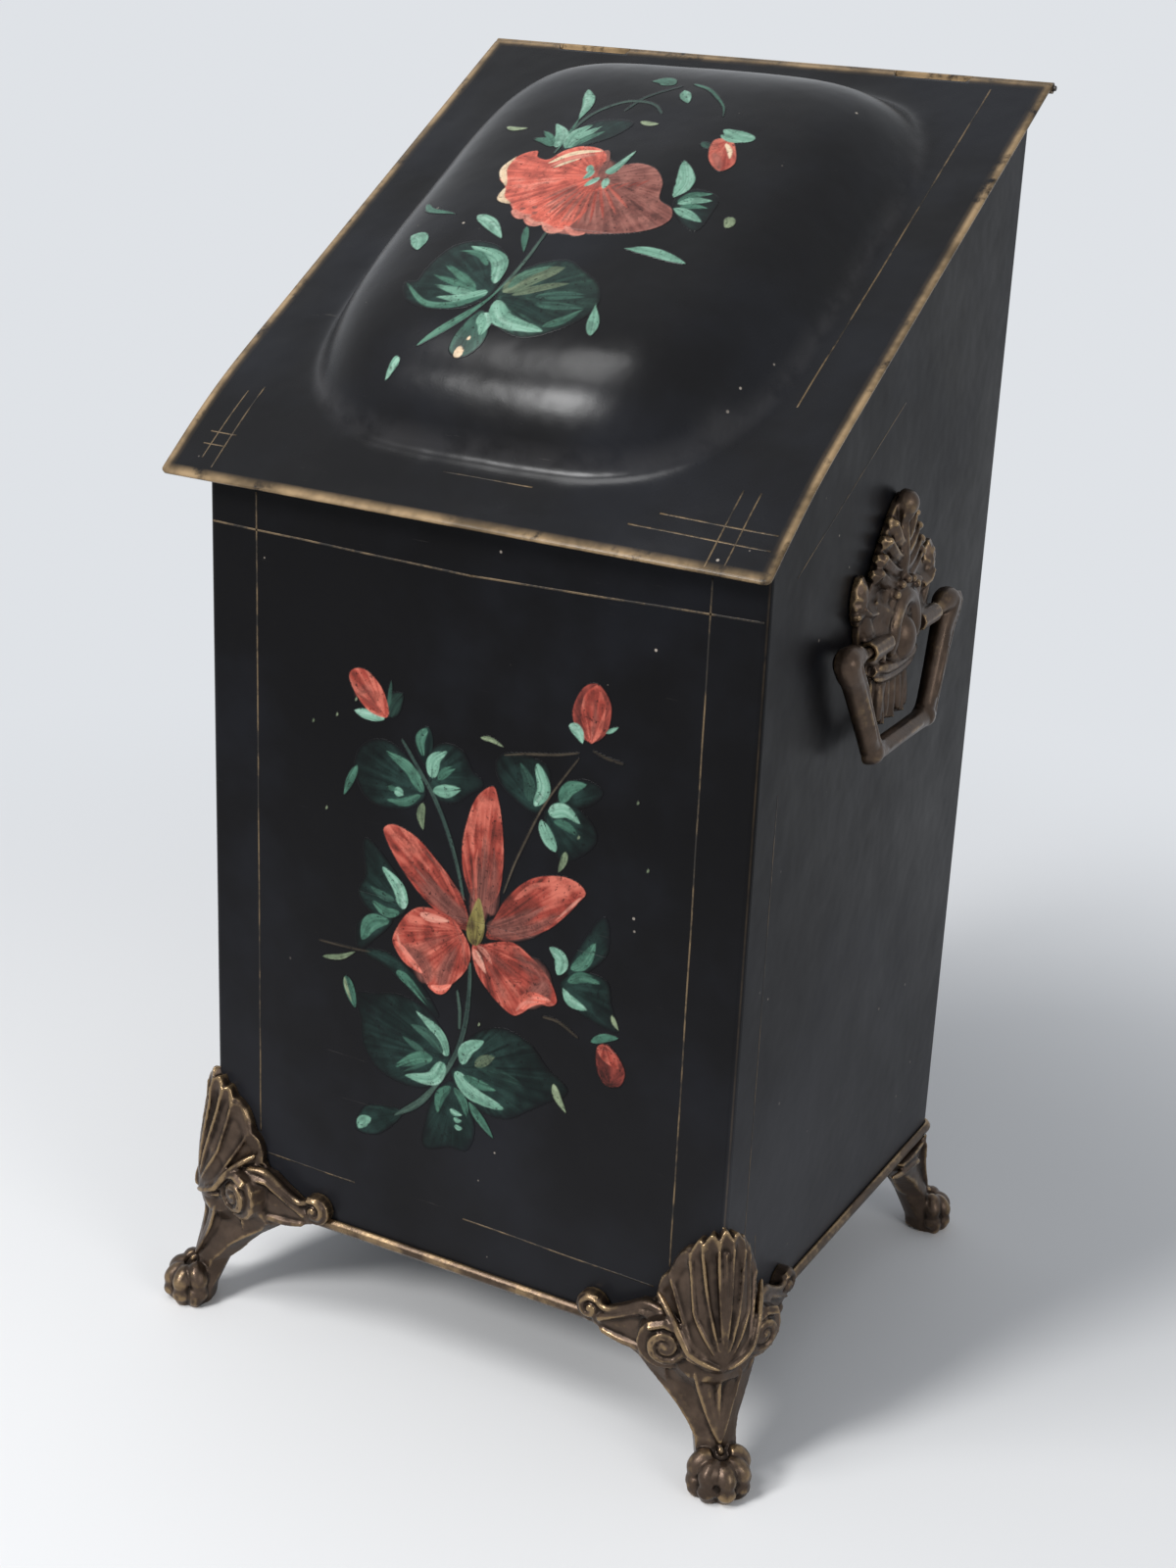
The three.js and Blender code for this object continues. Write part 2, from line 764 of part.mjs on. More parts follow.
// Leg sections: height, front line, half width, how far the ends trail, thickness, hollow at the back.
const FRONT_TOP = [
  [80, 8, 29, 17, 14, 20],
  [66, 7, 34, 23, 15, 24],
  [59, 5.5, 33, 26, 16, 24],
  [52, 5.2, 28, 23, 17, 18],
];
const REAR_TOP = [
  [RIM.low - GAP, 8, 36, 28, 14, 24],
  [57, 6.2, 33, 26, 15, 20],
  [51, 5.6, 27, 21, 16, 14],
];
const LEG = [
  [45, 5.8, 22, 15, 16, 10],
  [39, 7.2, 17.2, 10, 18, 5],
  [32, 9.6, 13.2, 8, 20.5, 0],
  [26, 12.6, 10.8, 6, 20, -4],
  [20, 13.5, 10.6, 5, 18, -4],
  [8, 19, 11, 6, 18, -5],
  [1, 18, 10, 6, 16, -5],
];

function legRing([z, front, halfSide, trail, thick, hollow]) {
  const across = [-1, -0.75, -0.4, 0, 0.4, 0.75, 1];
  const bend = (u) => Math.abs(u) ** 1.6;
  const outer = across.map((u) => onDiagonal(front - trail * bend(u), halfSide * u, z));
  const inner = across.map((u) =>
    onDiagonal(front - thick - hollow * bend(u), halfSide * 0.86 * u, z),
  );
  return [...outer, ...inner.reverse()];
}

// The paw: five rounded toes, each with a knuckle above it, and a plain heel.
function paw(size) {
  const toes = 5;
  const perToe = 4;
  const spread = degToRad(42);
  const middle = 14.4;
  const angles = [];
  for (let i = 0; i <= toes * perToe; i++) angles.push((i / perToe - toes / 2) * spread);
  for (const heel of [130, 160, 200, 230]) angles.push(degToRad(heel));
  // height, reach, depth of the grooves between the toes
  const levels = [
    [0, 14.4, 0.15],
    [2.8, 16.4, 0.2],
    [6.5, 17.2, 0.22],
    [10.2, 16, 0.18],
    [12.2, 13.2, 0.08],
    [14.8, 13.6, 0.18],
    [18, 11.8, 0.16],
    [20.6, 8.6, 0.06],
  ];
  const rings = levels.map(([z, reach, groove]) =>
    angles.map((angle) => {
      const share = Math.abs(angle) <= (toes / 2) * spread + 1e-6 ? angle / spread + toes / 2 : 0;
      const toe = Math.abs(Math.sin(Math.PI * share));
      const r = size * reach * (1 - groove * (1 - toe));
      // the toes slope down to the front
      const up = z * (1 - 0.18 * Math.cos(angle));
      return onDiagonal(middle + 0.9 * r * Math.cos(angle), r * Math.sin(angle), up);
    }),
  );
  return loft(rings);
}

function mountingPad() {
  const top = BODY.bottom - GAP;
  const low = top - FOOT.padThick;
  const half = 11;
  const end = FOOT.padReach - half;
  const outline = [
    [-4, -half],
    [-end, -half],
    [-end - half * 0.7, -half * 0.7],
    [-end - half, 0],
    [-end - half * 0.7, half * 0.7],
    [-end, half],
    [-4, half],
  ];
  const ring = (z) => outline.map(([out, side]) => onDiagonal(out, side, z));
  return loft([ring(low), ring(top)]);
}

function frontRelief() {
  const shin = ridge(
    (out, z, side) => onDiagonal(out, side, z),
    [
      [3.4, 127, 0],
      [6.8, 109, 0],
      [8.8, 90, 0],
      [8.4, 72, 0],
      [5.4, 51, 0],
      [7.6, 37, 0],
      [12.6, 24, 0],
    ],
    [1.4, 1.8, 2.2, 2.4, 2.2, 2, 1.2],
  );
  return [shin, footShell(), ...footScrolls(1), ...footScrolls(-1)];
}

// The leaf brackets of the rear legs, which end under the rim.
function rearRelief() {
  const stations = [
    [24, 51, -8],
    [36, 53, -6],
    [46, 51.5, -5],
    [53, 54, -5],
    [60, 60, -5.5],
    [68, 63.2, -6],
  ];
  return [-1, 1].map((side) =>
    band(
      (w, z, out) => roundCorner(side * w, z, out - 4),
      stations.map(([w, low, out]) => [w, low, RIM.low + 1, out + 4, 1.5]),
    ),
  );
}

function castFoot(corner) {
  const front = corner.sy < 0;
  const setback = front ? 0 : -FOOT.rearSetback * Math.SQRT1_2;
  const lower = [
    loft([...(front ? FRONT_TOP : REAR_TOP), ...LEG].map(legRing)),
    paw(front ? 1 : FOOT.rearPaw),
  ].map((part) => part.translate([setback, -setback, 0]));
  const parts = [...lower, mountingPad(), ...(front ? frontRelief() : rearRelief())];
  const bin = prismUp(
    roundedRectangle(halfWidth + GAP, halfDepth + GAP, BODY.fold),
    BODY.bottom - GAP,
    BODY.bottom + 120,
  );
  const cornerHole = boltHole({ sx: 1, sy: -1 });
  const floor = box([-300, -300, -60], [300, 300, 0]);
  const solid = cut(joined(parts), bin, rimHoop(GAP), cornerHole, floor);
  return mirrored(toGeometry(biggest(solid)), corner.sx, -corner.sy);
}

// Trimming can leave a crumb behind: the casting is the largest piece.
function biggest(solid) {
  return solid.decompose().sort((a, b) => b.volume() - a.volume())[0];
}

// A copy mirrored across x, across y or both, with its faces still pointing outwards.
function mirrored(geometry, sx, sy) {
  const copy = geometry.clone();
  copy.scale(sx, sy, 1);
  if (sx * sy < 0) {
    const index = copy.index.array;
    for (let i = 0; i < index.length; i += 3) [index[i + 1], index[i + 2]] = [index[i + 2], index[i + 1]];
  }
  return copy;
}

// ---------------------------------------------------------------- foot fasteners

function footBolt(corner) {
  const [x, y] = boltSpot(corner);
  const plateTop = BODY.bottom + TRAY.sheet;
  const nutLow = BODY.bottom - FOOT.padThick - 2 * GAP - BOLT.nutHigh;
  const profile = [
    [0, nutLow - BOLT.tail],
    [BOLT.shaft, nutLow - BOLT.tail],
    [BOLT.shaft, plateTop + GAP],
    [BOLT.head, plateTop + GAP],
    [BOLT.head * 0.86, plateTop + GAP + BOLT.headHigh * 0.7],
    [BOLT.head * 0.45, plateTop + GAP + BOLT.headHigh],
    [0, plateTop + GAP + BOLT.headHigh],
  ].map(([r, h]) => new THREE.Vector2(r, h));
  const geometry = new THREE.LatheGeometry(profile, 10);
  geometry.rotateX(Math.PI / 2);
  return toSolid(geometry.translate(x, y, 0));
}

function footNut(corner) {
  const [x, y] = boltSpot(corner);
  const high = BODY.bottom - FOOT.padThick - 2 * GAP;
  const half = BOLT.nut / 2;
  const block = box([x - half, y - half, high - BOLT.nutHigh], [x + half, y + half, high]);
  return cut(block, rod(V(x, y, high - 10), V(x, y, high + 10), BOLT.hole, 12));
}

// ---------------------------------------------------------------- side handles
// The handle is made on the right side, and mirrored to the left.

const onSide = (along, up, out) => V(halfWidth + out, along, up);

// The backing's edge on one half, from the foot of the strap up to the tip of the palmette.
const PLATE_EDGE = [
  [0, 356.5],
  [14, 357],
  [19, 361],
  [19.5, 371],
  [21, 381],
  [27, 386],
  [31, 393],
  [38, 399],
  [42, 407],
  [43, 416],
  [39, 425],
  [32, 431],
  [29, 436],
  [26, 442],
  [21, 450],
  [15, 458],
  [9, 465],
  [0, 471],
];

function plateBacking() {
  const half = PLATE_EDGE.map(([y, z]) => new THREE.Vector2(y, z));
  const other = half
    .slice(1, -1)
    .reverse()
    .map((p) => new THREE.Vector2(-p.x, p.y));
  const curve = new THREE.SplineCurve([...half, ...other, half[0]]);
  const outline = curve.getPoints(52).slice(0, -1);
  return prismAcross(
    outline.map((p) => [p.x, p.y]),
    halfWidth + GAP,
    halfWidth + PLATE.back,
  );
}

// The leaf that folds over the middle, with pleats running down both sides.
function plateHood() {
  const outline = (angle) => {
    const tall = Math.sin(angle) > 0 ? 24 : 21;
    return 1 / Math.hypot(Math.cos(angle) / 40, Math.sin(angle) / tall);
  };
  const height = (share, angle) => {
    const pleat = 1.3 * share * Math.cos(12 * angle);
    return PLATE.back + 1 + 5.5 * Math.sqrt(Math.max(0, 1 - share ** 2)) + pleat;
  };
  return boss(onSide, [0, PLATE.hood], outline, height, evenAngles(24), [0.55, 1]);
}

// The oval drop in the middle, in its raised frame.
function plateDrop() {
  const path = [];
  const radii = [];
  const steps = 12;
  for (let i = 0; i <= steps; i++) {
    const angle = degToRad(lerp(-78, 258, i / steps));
    const narrow = 1 - 0.3 * Math.max(0, -Math.sin(angle));
    path.push([15 * narrow * Math.cos(angle), 406 + 18 * Math.sin(angle), 8]);
    radii.push(3 + 0.8 * Math.max(0, Math.sin(angle)));
  }
  return [ridge(onSide, path, radii), ball(onSide(0, 402, 8.5), [4.6, 7.5, 10.5], 8, 6)];
}

// The palmette: a knobbed middle rib and four beaded ribs on each side.
function platePalmette() {
  const tips = [
    [28, 436, 3.8],
    [24.5, 442.5, 4],
    [19.5, 450.5, 3.8],
    [13.5, 458.5, 3.4],
  ];
  const middle = ridge(
    onSide,
    [
      [0, 429, 4],
      [0, 444, 4.6],
      [0, 457, 3.6],
      [0, 461, 4],
      [0, 466.5, 4.4],
      [0, 471, 3.4],
    ],
    [5.4, 5, 4.4, 6.2, 7.4, 3.6],
    6,
  );
  const ribs = [-1, 1].flatMap((side) =>
    tips.map(([y, z, radius], i) => {
      const low = [2 + i * 0.6, 429 + i * 6];
      const along = (share) => [side * lerp(low[0], y, share), lerp(low[1], z, share ** 1.6)];
      return ridge(
        onSide,
        [
          [...along(0), 4.4],
          [...along(0.5), 5.2],
          [...along(0.8), 4],
          [...along(1), 3.6],
          [...along(1.14), 3],
        ],
        [2.2, 3, 2.6, radius * 1.1, radius * 0.5],
        5,
      );
    }),
  );
  return [middle, ...ribs];
}

function plateEar(side) {
  const outline = (angle) => 1 / Math.hypot(Math.cos(angle) / 6.5, Math.sin(angle) / 13);
  const height = (share, angle) => 3.4 + 3.6 * (1 - share ** 2) + 0.7 * share * Math.cos(7 * angle);
  const leaf = boss(onSide, [side * 42.5, 427], outline, height, evenAngles(14), [0.6, 1]);
  const stalk = ridge(
    onSide,
    [
      [side * 30, 419, 4],
      [side * 38, 420, 4.4],
      [side * 44, 424, 4],
    ],
    [5, 4.6, 4],
  );
  return [leaf, stalk];
}

// The pleated strap below the collar. Its foot flares out, and the bail rests on it.
function plateStrap() {
  const collar = ridge(
    onSide,
    [-26, -17, 0, 17, 26].map((y) => [y, PLATE.collar - 2.5 * Math.cos((y / 26) * 1.5), 5]),
    [3.4, 4.4, 4.8, 4.4, 3.4],
    6,
  );
  const pleats = [-1, 0, 1].map((k) =>
    ridge(
      onSide,
      [
        [k * 13.5, 387, 3.4],
        [k * 12.8, 373, 1.8],
        [k * 12.6, 364, 2.6],
        [k * 12.6, 358.6, 3.2],
      ],
      [5.6, 6, 6, 6],
      6,
    ),
  );
  return [collar, ...pleats];
}

function handlePlate(side) {
  const { axisOut, axisUp } = BAIL;
  const sockets = [-1, 1].map((s) =>
    rod(onSide(s * 20, axisUp, axisOut), onSide(s * 42, axisUp, axisOut), 5, 8),
  );
  const bores = [-1, 1].map((s) =>
    rod(onSide(s * 34, axisUp, axisOut), onSide(s * 75, axisUp, axisOut), BAIL.socket, 12),
  );
  const wall = box([0, -200, 300], [halfWidth + GAP, 200, 560]);
  const holes = SCREW.heights.map((z) => screwHole(1, z, SCREW.hole));
  const solid = joined(
    plateBacking(),
    plateHood(),
    plateDrop(),
    platePalmette(),
    plateEar(-1),
    plateEar(1),
    plateStrap(),
    sockets,
  );
  return mirrored(toGeometry(biggest(cut(solid, wall, bores, holes))), side, 1);
}

// The bail: one bar bent through two elbows and two corners, thick at the elbows.
function handleBail(side) {
  const { drop, elbow, prong } = BAIL;
  const half = [
    [36, 0, prong],
    [47, -0.2, prong],
    [52, -1, 4.4],
    [58, -2.4, 6.2],
    [elbow, -1.6, 6.9],
    [61.5, 4, 6.6],
    [56, 11, 6],
    [45, 31, 5.4],
    [36.5, drop - 5, 5.2],
    [33, drop - 0.8, 6],
    [27, drop, 5.2],
  ];
  const path = [...half, [0, drop, 5], ...half.map(([y, d, r]) => [-y, d, r]).reverse()];
  const lean = degToRad(BAIL.lean);
  const hang = (y, drop, out) =>
    V(
      halfWidth + BAIL.axisOut + drop * Math.sin(lean) + out * Math.cos(lean),
      y,
      BAIL.axisUp - drop * Math.cos(lean) + out * Math.sin(lean),
    );
  const bar = ridge(
    hang,
    path.map(([y, drop]) => [y, drop, 0]),
    path.map(([, , radius]) => radius),
    6,
  );
  const tips = [-1, 1].map((s) =>
    ridge(
      hang,
      [
        [s * 32, drop - 2, 0],
        [s * 34.2, drop + 2, 0.3],
        [s * 34.8, drop + 4.6, 0.6],
      ],
      [5, 3.8, 1.6],
    ),
  );
  return mirrored(toGeometry(joined(bar, tips)), side, 1);
}

// A round-headed screw, put through the side wall from inside the bin.
function handleScrew(side, z) {
  const inside = halfWidth - BODY.sheet - GAP;
  const profile = [
    [0, inside - SCREW.headHigh],
    [SCREW.head * 0.5, inside - SCREW.headHigh],
    [SCREW.head * 0.9, inside - SCREW.headHigh * 0.6],
    [SCREW.head, inside],
    [SCREW.shaft, inside],
    [SCREW.shaft, halfWidth + SCREW.depth - GAP],
    [0, halfWidth + SCREW.depth - GAP],
  ].map(([r, h]) => new THREE.Vector2(r, h));
  const geometry = new THREE.LatheGeometry(profile, 8);
  geometry.rotateZ(-Math.PI / 2);
  return mirrored(toGeometry(toSolid(geometry.translate(0, 0, z))), side, 1);
}

// ---------------------------------------------------------------- finishes

const finishes = {
  japan: new THREE.MeshStandardMaterial({ color: 0x15151a, roughness: 0.35, metalness: 0.1 }),
  gilt: new THREE.MeshStandardMaterial({ color: 0x7d6540, roughness: 0.45, metalness: 0.6 }),
  bronze: new THREE.MeshStandardMaterial({ color: 0x4b3a30, roughness: 0.45, metalness: 0.7 }),
  iron: new THREE.MeshStandardMaterial({ color: 0x3a3836, roughness: 0.6, metalness: 0.8 }),
};

// ---------------------------------------------------------------- the scuttle

const scuttle = new THREE.Group();

function add(name, shape, finish) {
  const geometry = shape instanceof THREE.BufferGeometry ? shape : toGeometry(shape);
  const mesh = new THREE.Mesh(geometry, finishes[finish].clone());
  mesh.name = name;
  scuttle.add(mesh);
}

add("body_wrap", bodyWrap(), "japan");
add("back_panel", backPanel(), "japan");
add("bottom_plate", bottomPlate(), "japan");
add("base_rim", rimHoop(0), "gilt");
add("lid_panel", lidPanel(), "japan");
add("hinge_pin", hingePin(), "iron");
for (const corner of corners) {
  add("foot_" + corner.name, castFoot(corner), "bronze");
  add("foot_bolt_" + corner.name, footBolt(corner), "iron");
  add("foot_nut_" + corner.name, footNut(corner), "iron");
}
for (const [name, side] of [
  ["left", -1],
  ["right", 1],
]) {
  add("handle_plate_" + name, handlePlate(side), "bronze");
  add("handle_bail_" + name, handleBail(side), "bronze");
  add("handle_screw_" + name + "_upper", handleScrew(side, SCREW.heights[0]), "iron");
  add("handle_screw_" + name + "_lower", handleScrew(side, SCREW.heights[1]), "iron");
}

const middle = new THREE.Box3().setFromObject(scuttle).getCenter(V(0, 0, 0));
for (const mesh of scuttle.children) mesh.geometry.translate(0, -middle.y, 0);

export default scuttle;
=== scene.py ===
"""A japanned coal scuttle with cast feet, two drop handles and a painted spray, on a pale floor."""

from math import cos, degrees, hypot, log, pi, radians, sin, sqrt

import bmesh
import bpy
import numpy as np
from bpy.props import FloatProperty, FloatVectorProperty, IntProperty, PointerProperty
from mathutils import Matrix, Vector, noise


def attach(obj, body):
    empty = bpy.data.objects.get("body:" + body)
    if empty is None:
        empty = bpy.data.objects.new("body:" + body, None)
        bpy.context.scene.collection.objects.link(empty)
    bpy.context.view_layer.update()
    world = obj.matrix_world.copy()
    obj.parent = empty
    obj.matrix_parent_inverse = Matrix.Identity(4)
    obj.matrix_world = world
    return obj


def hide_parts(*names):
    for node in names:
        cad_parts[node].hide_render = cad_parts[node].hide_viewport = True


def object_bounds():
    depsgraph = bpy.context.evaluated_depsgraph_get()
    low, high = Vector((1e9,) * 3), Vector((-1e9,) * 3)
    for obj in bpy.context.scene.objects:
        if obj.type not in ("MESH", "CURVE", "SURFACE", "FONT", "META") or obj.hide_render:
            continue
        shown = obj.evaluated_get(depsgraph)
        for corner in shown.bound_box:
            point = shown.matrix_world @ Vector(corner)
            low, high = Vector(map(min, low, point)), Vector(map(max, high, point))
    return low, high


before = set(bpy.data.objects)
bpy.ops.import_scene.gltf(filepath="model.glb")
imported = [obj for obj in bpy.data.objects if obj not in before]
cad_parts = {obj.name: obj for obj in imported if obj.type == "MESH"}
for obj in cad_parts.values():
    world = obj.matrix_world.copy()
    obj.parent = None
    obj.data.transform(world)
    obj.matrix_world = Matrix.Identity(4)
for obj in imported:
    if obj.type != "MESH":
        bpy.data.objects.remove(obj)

bl_info = {
    "name": "Coal Scuttle",
    "version": (1, 0, 0),
    "blender": (4, 5, 0),
    "location": "View3D > Sidebar > Scuttle",
    "description": "Dresses a sheet-metal coal scuttle: castings, japanning and painted flowers",
    "category": "Object",
}

MM = 0.001
BIN_HALF_WIDTH = 150.0
BIN_HALF_DEPTH = 138.5
BIN_MIDDLE = 3.8188  # how far behind the origin the bin is centred
BIN_BOTTOM = 67.0
FRONT = BIN_MIDDLE - BIN_HALF_DEPTH
HINGE_BACK, HINGE_UP = BIN_MIDDLE + 139.2, 649  # the axis of the lid's pin
BAIL_OUT, BAIL_UP = 159.4, 403  # the axis of the right-hand bail
CAD_BOX = [list(corner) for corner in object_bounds()]  # taken before any piece is made


# ---------------------------------------------------------------- what a user would change


def length(name, description, value, low, high):
    return FloatProperty(name=name, description=description, default=value, min=low, max=high)


class ScuttleSizes(bpy.types.PropertyGroup):
    """Sizes in millimetres, and the number of flutes."""

    grain: length("Casting grain", "Size of the smallest detail of the castings", 0.72, 0.4, 3.0)
    dome_rise: length("Dome rise", "Height of the lid's dome above its flat border", 38.0, 0.0, 45.0)
    dome_crown: length("Dome crown", "Extra height at the middle of the dome", 4.0, 0.0, 10.0)
    sheet: length("Sheet", "Thickness of the sheet metal", 1.2, 0.5, 3.0)
    dents: length("Dents", "How deep the lid is dented", 0.5, 0.0, 3.0)
    film: length("Paint film", "Thickness of the painted decoration", 0.03, 0.005, 0.3)
    paint_grain: length("Paint grain", "Distance between the points of the painting", 0.5, 0.3, 3.0)
    flutes: IntProperty(
        name="Flutes", description="Flutes of the shell on each front foot", default=13, min=3, max=15
    )


def colour(name, description, value):
    return FloatVectorProperty(
        name=name, description=description, default=value, subtype="COLOR", size=3, min=0.0, max=1.0
    )


class ScuttleColours(bpy.types.PropertyGroup):
    """Colours of the finishes."""

    japan: colour("Japan black", "Ground of the japanned sheet", (0.0048, 0.0046, 0.0051))
    haze: colour("Haze", "Rubbed, greyish places of the japanning", (0.0085, 0.009, 0.0115))
    gilt: colour("Gilding", "Worn gold lines and borders", (0.27, 0.185, 0.1))
    brown: colour("Brown bronze", "Body colour of the castings", (0.094, 0.064, 0.046))
    crevice: colour("Crevices", "Dark hollows of the castings", (0.012, 0.008, 0.006))
    rubbed: colour("Rubbed bronze", "High edges of the castings", (0.25, 0.17, 0.092))
    steel: colour("Steel", "Screws, bolts and nuts", (0.11, 0.1, 0.09))
    floor: colour("Floor", "Pale floor", (0.8, 0.8, 0.8))


# ---------------------------------------------------------------- small tools


def clamp(x, low=0.0, high=1.0):
    return max(low, min(high, x))


def lerp(a, b, share):
    return a + (b - a) * share


def smoothstep(x, low, high):
    t = clamp((x - low) / (high - low))
    return t * t * (3 - 2 * t)


def dimmed(tint, share):
    return tuple(c * share for c in tint)


def curve(p0, p1, p2, p3, t):
    """A point of the smooth curve from p1 to p2, with t from 0 to 1."""
    return [
        0.5 * (2 * b + (c - a) * t + (2 * a - 5 * b + 4 * c - d) * t * t + (3 * b - a - 3 * c + d) * t**3)
        for a, b, c, d in zip(p0, p1, p2, p3)
    ]


def along(points, share):
    """A point of the smooth curve through the given ones, with share from 0 to 1."""
    count = len(points) - 1
    at = clamp(share) * count
    i = min(int(at), count - 1)
    p1, p2 = points[i], points[i + 1]
    p0 = points[i - 1] if i > 0 else [2 * a - b for a, b in zip(p1, p2)]
    p3 = points[i + 2] if i + 2 <= count else [2 * b - a for a, b in zip(p1, p2)]
    return curve(p0, p1, p2, p3, at - i)


def grid(bm, columns, rows, place):
    """A grid of faces whose points go where place(u, v) says, with u and v from 0 to 1."""
    made = bmesh.ops.create_grid(bm, x_segments=columns, y_segments=rows, size=0.5)["verts"]
    for vert in made:
        vert.co = place(clamp(vert.co.x + 0.5), clamp(vert.co.y + 0.5))
    return made


def closed_grid(bm, columns, rows, place):
    """A grid that is rolled up: its seam and its two poles are merged."""
    made = grid(bm, columns, rows, place)
    bmesh.ops.remove_doubles(bm, verts=made, dist=1e-4)


def tube(bm, path, radii, place, sides=8, steps=None):
    """A rounded ridge through [along, up, out] points on a wall, with a radius for each."""
    steps = steps or max(8, 5 * (len(path) - 1))
    spots = [along(path, i / steps) for i in range(steps + 1)]
    centres = [place(*p) for p in spots]
    frames = []
    for i, centre in enumerate(centres):
        tangent = (centres[min(i + 1, steps)] - centres[max(i - 1, 0)]).normalized()
        w, z, out = spots[i]
        outward = place(w, z, out + 1) - centre
        side = tangent.cross(outward).normalized()
        frames.append((centre, side, side.cross(tangent)))
    flat = [[r] for r in radii]

    def point(u, v):
        i = round(v * steps)
        centre, side, up = frames[i]
        radius = along(flat, i / steps)[0]
        radius *= 0.0 if i in (0, steps) else 1.0
        return centre + side * (radius * cos(2 * pi * u)) + up * (radius * sin(2 * pi * u))

    closed_grid(bm, sides, steps, point)


def mound(bm, centre, reach, height, place, columns, rows, depth, turn=lambda u: 2 * pi * u):
    """A raised form round a centre: reach(angle) and height(share, angle), let in to a depth."""
    w0, z0 = centre

    def point(u, v):
        angle = turn(u)
        if v > 0.999:
            return place(w0, z0, depth)
        share = clamp(v / (1 - 2 / rows))
        out = height(share, angle) if v <= 1 - 1.5 / rows else depth
        far = reach(angle) * share
        return place(w0 + far * cos(angle), z0 + far * sin(angle), out)

    closed_grid(bm, columns, rows, point)


def knob(bm, centre, radius, out, rise, place, columns, rows, depth):
    """A mound with a round foot and a rounded top that stands out + rise off the wall."""

    def height(share, angle):
        return out + rise * sqrt(max(0, 1 - share * share))

    mound(bm, centre, lambda angle: radius, height, place, columns, rows, depth)


def spiral(bm, centre, radius, out, turns, thick, start, turn, place, rise=1.2):
    """A ridge that winds in from its rim to an eye in the middle."""
    w0, z0 = centre
    bends = 14
    path, radii = [], []
    for i in range(bends + 1):
        share = i / bends
        angle = start + turn * 2 * pi * turns * share
        reach = lerp(radius, radius * 0.12, share**0.85)
        path.append([w0 + reach * cos(angle), z0 + reach * sin(angle), out + rise * share])
        radii.append(lerp(thick, thick * 0.6, share))
    tube(bm, path, radii, place, steps=60)


def piece_from(name, bm, body, finish, smooth=True):
    """Makes an object of a bmesh in millimetres, riding on a body of the scuttle."""
    bmesh.ops.scale(bm, vec=(MM, MM, MM), verts=bm.verts)
    mesh = bpy.data.meshes.new(name)
    bm.to_mesh(mesh)
    bm.free()
    return show(name, mesh, body, finish, smooth)


def show(name, mesh, body, finish, smooth=True):
    """Makes an object of a mesh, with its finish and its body."""
    mesh.materials.clear()
    mesh.materials.append(finish)
    mesh.polygons.foreach_set("use_smooth", [smooth] * len(mesh.polygons))
    mesh.update()
    piece = bpy.data.objects.new(name, mesh)
    bpy.context.scene.collection.objects.link(piece)
    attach(piece, body)
    return piece


# ---------------------------------------------------------------- finishes


class Finish:
    """A material that is put together node by node."""

    def __init__(self, name, **sockets):
        self.material = bpy.data.materials.new(name)
        self.material.use_nodes = True
        self.nodes = self.material.node_tree.nodes
        self.links = self.material.node_tree.links
        self.surface = self.nodes["Principled BSDF"]
        for socket, value in sockets.items():
            self.surface.inputs[socket.replace("_", " ")].default_value = value

    def add(self, kind, inputs=None, **settings):
        """A node with its settings, and with its inputs set or wired."""
        made = self.nodes.new(kind)
        for key, value in settings.items():
            setattr(made, key, value)
        for key, value in (inputs or {}).items():
            if isinstance(value, bpy.types.NodeSocket):
                self.links.new(value, made.inputs[key])
            else:
                made.inputs[key].default_value = value
        return made

    def place(self, scale=(1, 1, 1)):
        """The place on the piece, stretched by a scale."""
        spot = self.add("ShaderNodeTexCoord").outputs["Object"]
        return self.add("ShaderNodeMapping", {"Vector": spot, "Scale": scale}).outputs["Vector"]

    def attribute(self, name, output="Fac"):
        return self.add("ShaderNodeAttribute", attribute_name=name).outputs[output]

    def cloud(self, vector, scale, detail=3.0, roughness=0.55):
        """Soft noise from 0 to 1."""
        inputs = {"Vector": vector, "Scale": scale, "Detail": detail, "Roughness": roughness}
        return self.add("ShaderNodeTexNoise", inputs).outputs["Fac"]

    def band(self, value, low, high, to_low=0.0, to_high=1.0):
        """A value spread out from low..high to to_low..to_high, and held there."""
        made = self.add(
            "ShaderNodeMapRange",
            {"Value": value, "From Min": low, "From Max": high, "To Min": to_low, "To Max": to_high},
            interpolation_type="SMOOTHSTEP",
        )
        return made.outputs["Result"]

    def calc(self, operation, a, b):
        """A sum of two values, by the name of its operation."""
        return self.add("ShaderNodeMath", {0: a, 1: b}, operation=operation).outputs["Value"]

    def mix(self, share, a, b):
        """A share of colour b over colour a."""
        made = self.add("ShaderNodeMix", data_type="RGBA")
        for socket, value in ((made.inputs[0], share), (made.inputs[6], a), (made.inputs[7], b)):
            if isinstance(value, bpy.types.NodeSocket):
                self.links.new(value, socket)
            else:
                socket.default_value = (*value, 1.0) if hasattr(value, "__len__") else value
        return made.outputs[2]

    def wire(self, socket, value):
        self.links.new(value, self.surface.inputs[socket])

    def bump(self, *layers):
        """Bumps on bumps: each layer is a height, its depth in metres and its strength."""
        normal = None
        for height, depth, strength in layers:
            inputs = {"Height": height, "Distance": depth, "Strength": strength}
            if normal:
                inputs["Normal"] = normal
            normal = self.add("ShaderNodeBump", inputs).outputs["Normal"]
        self.wire("Normal", normal)


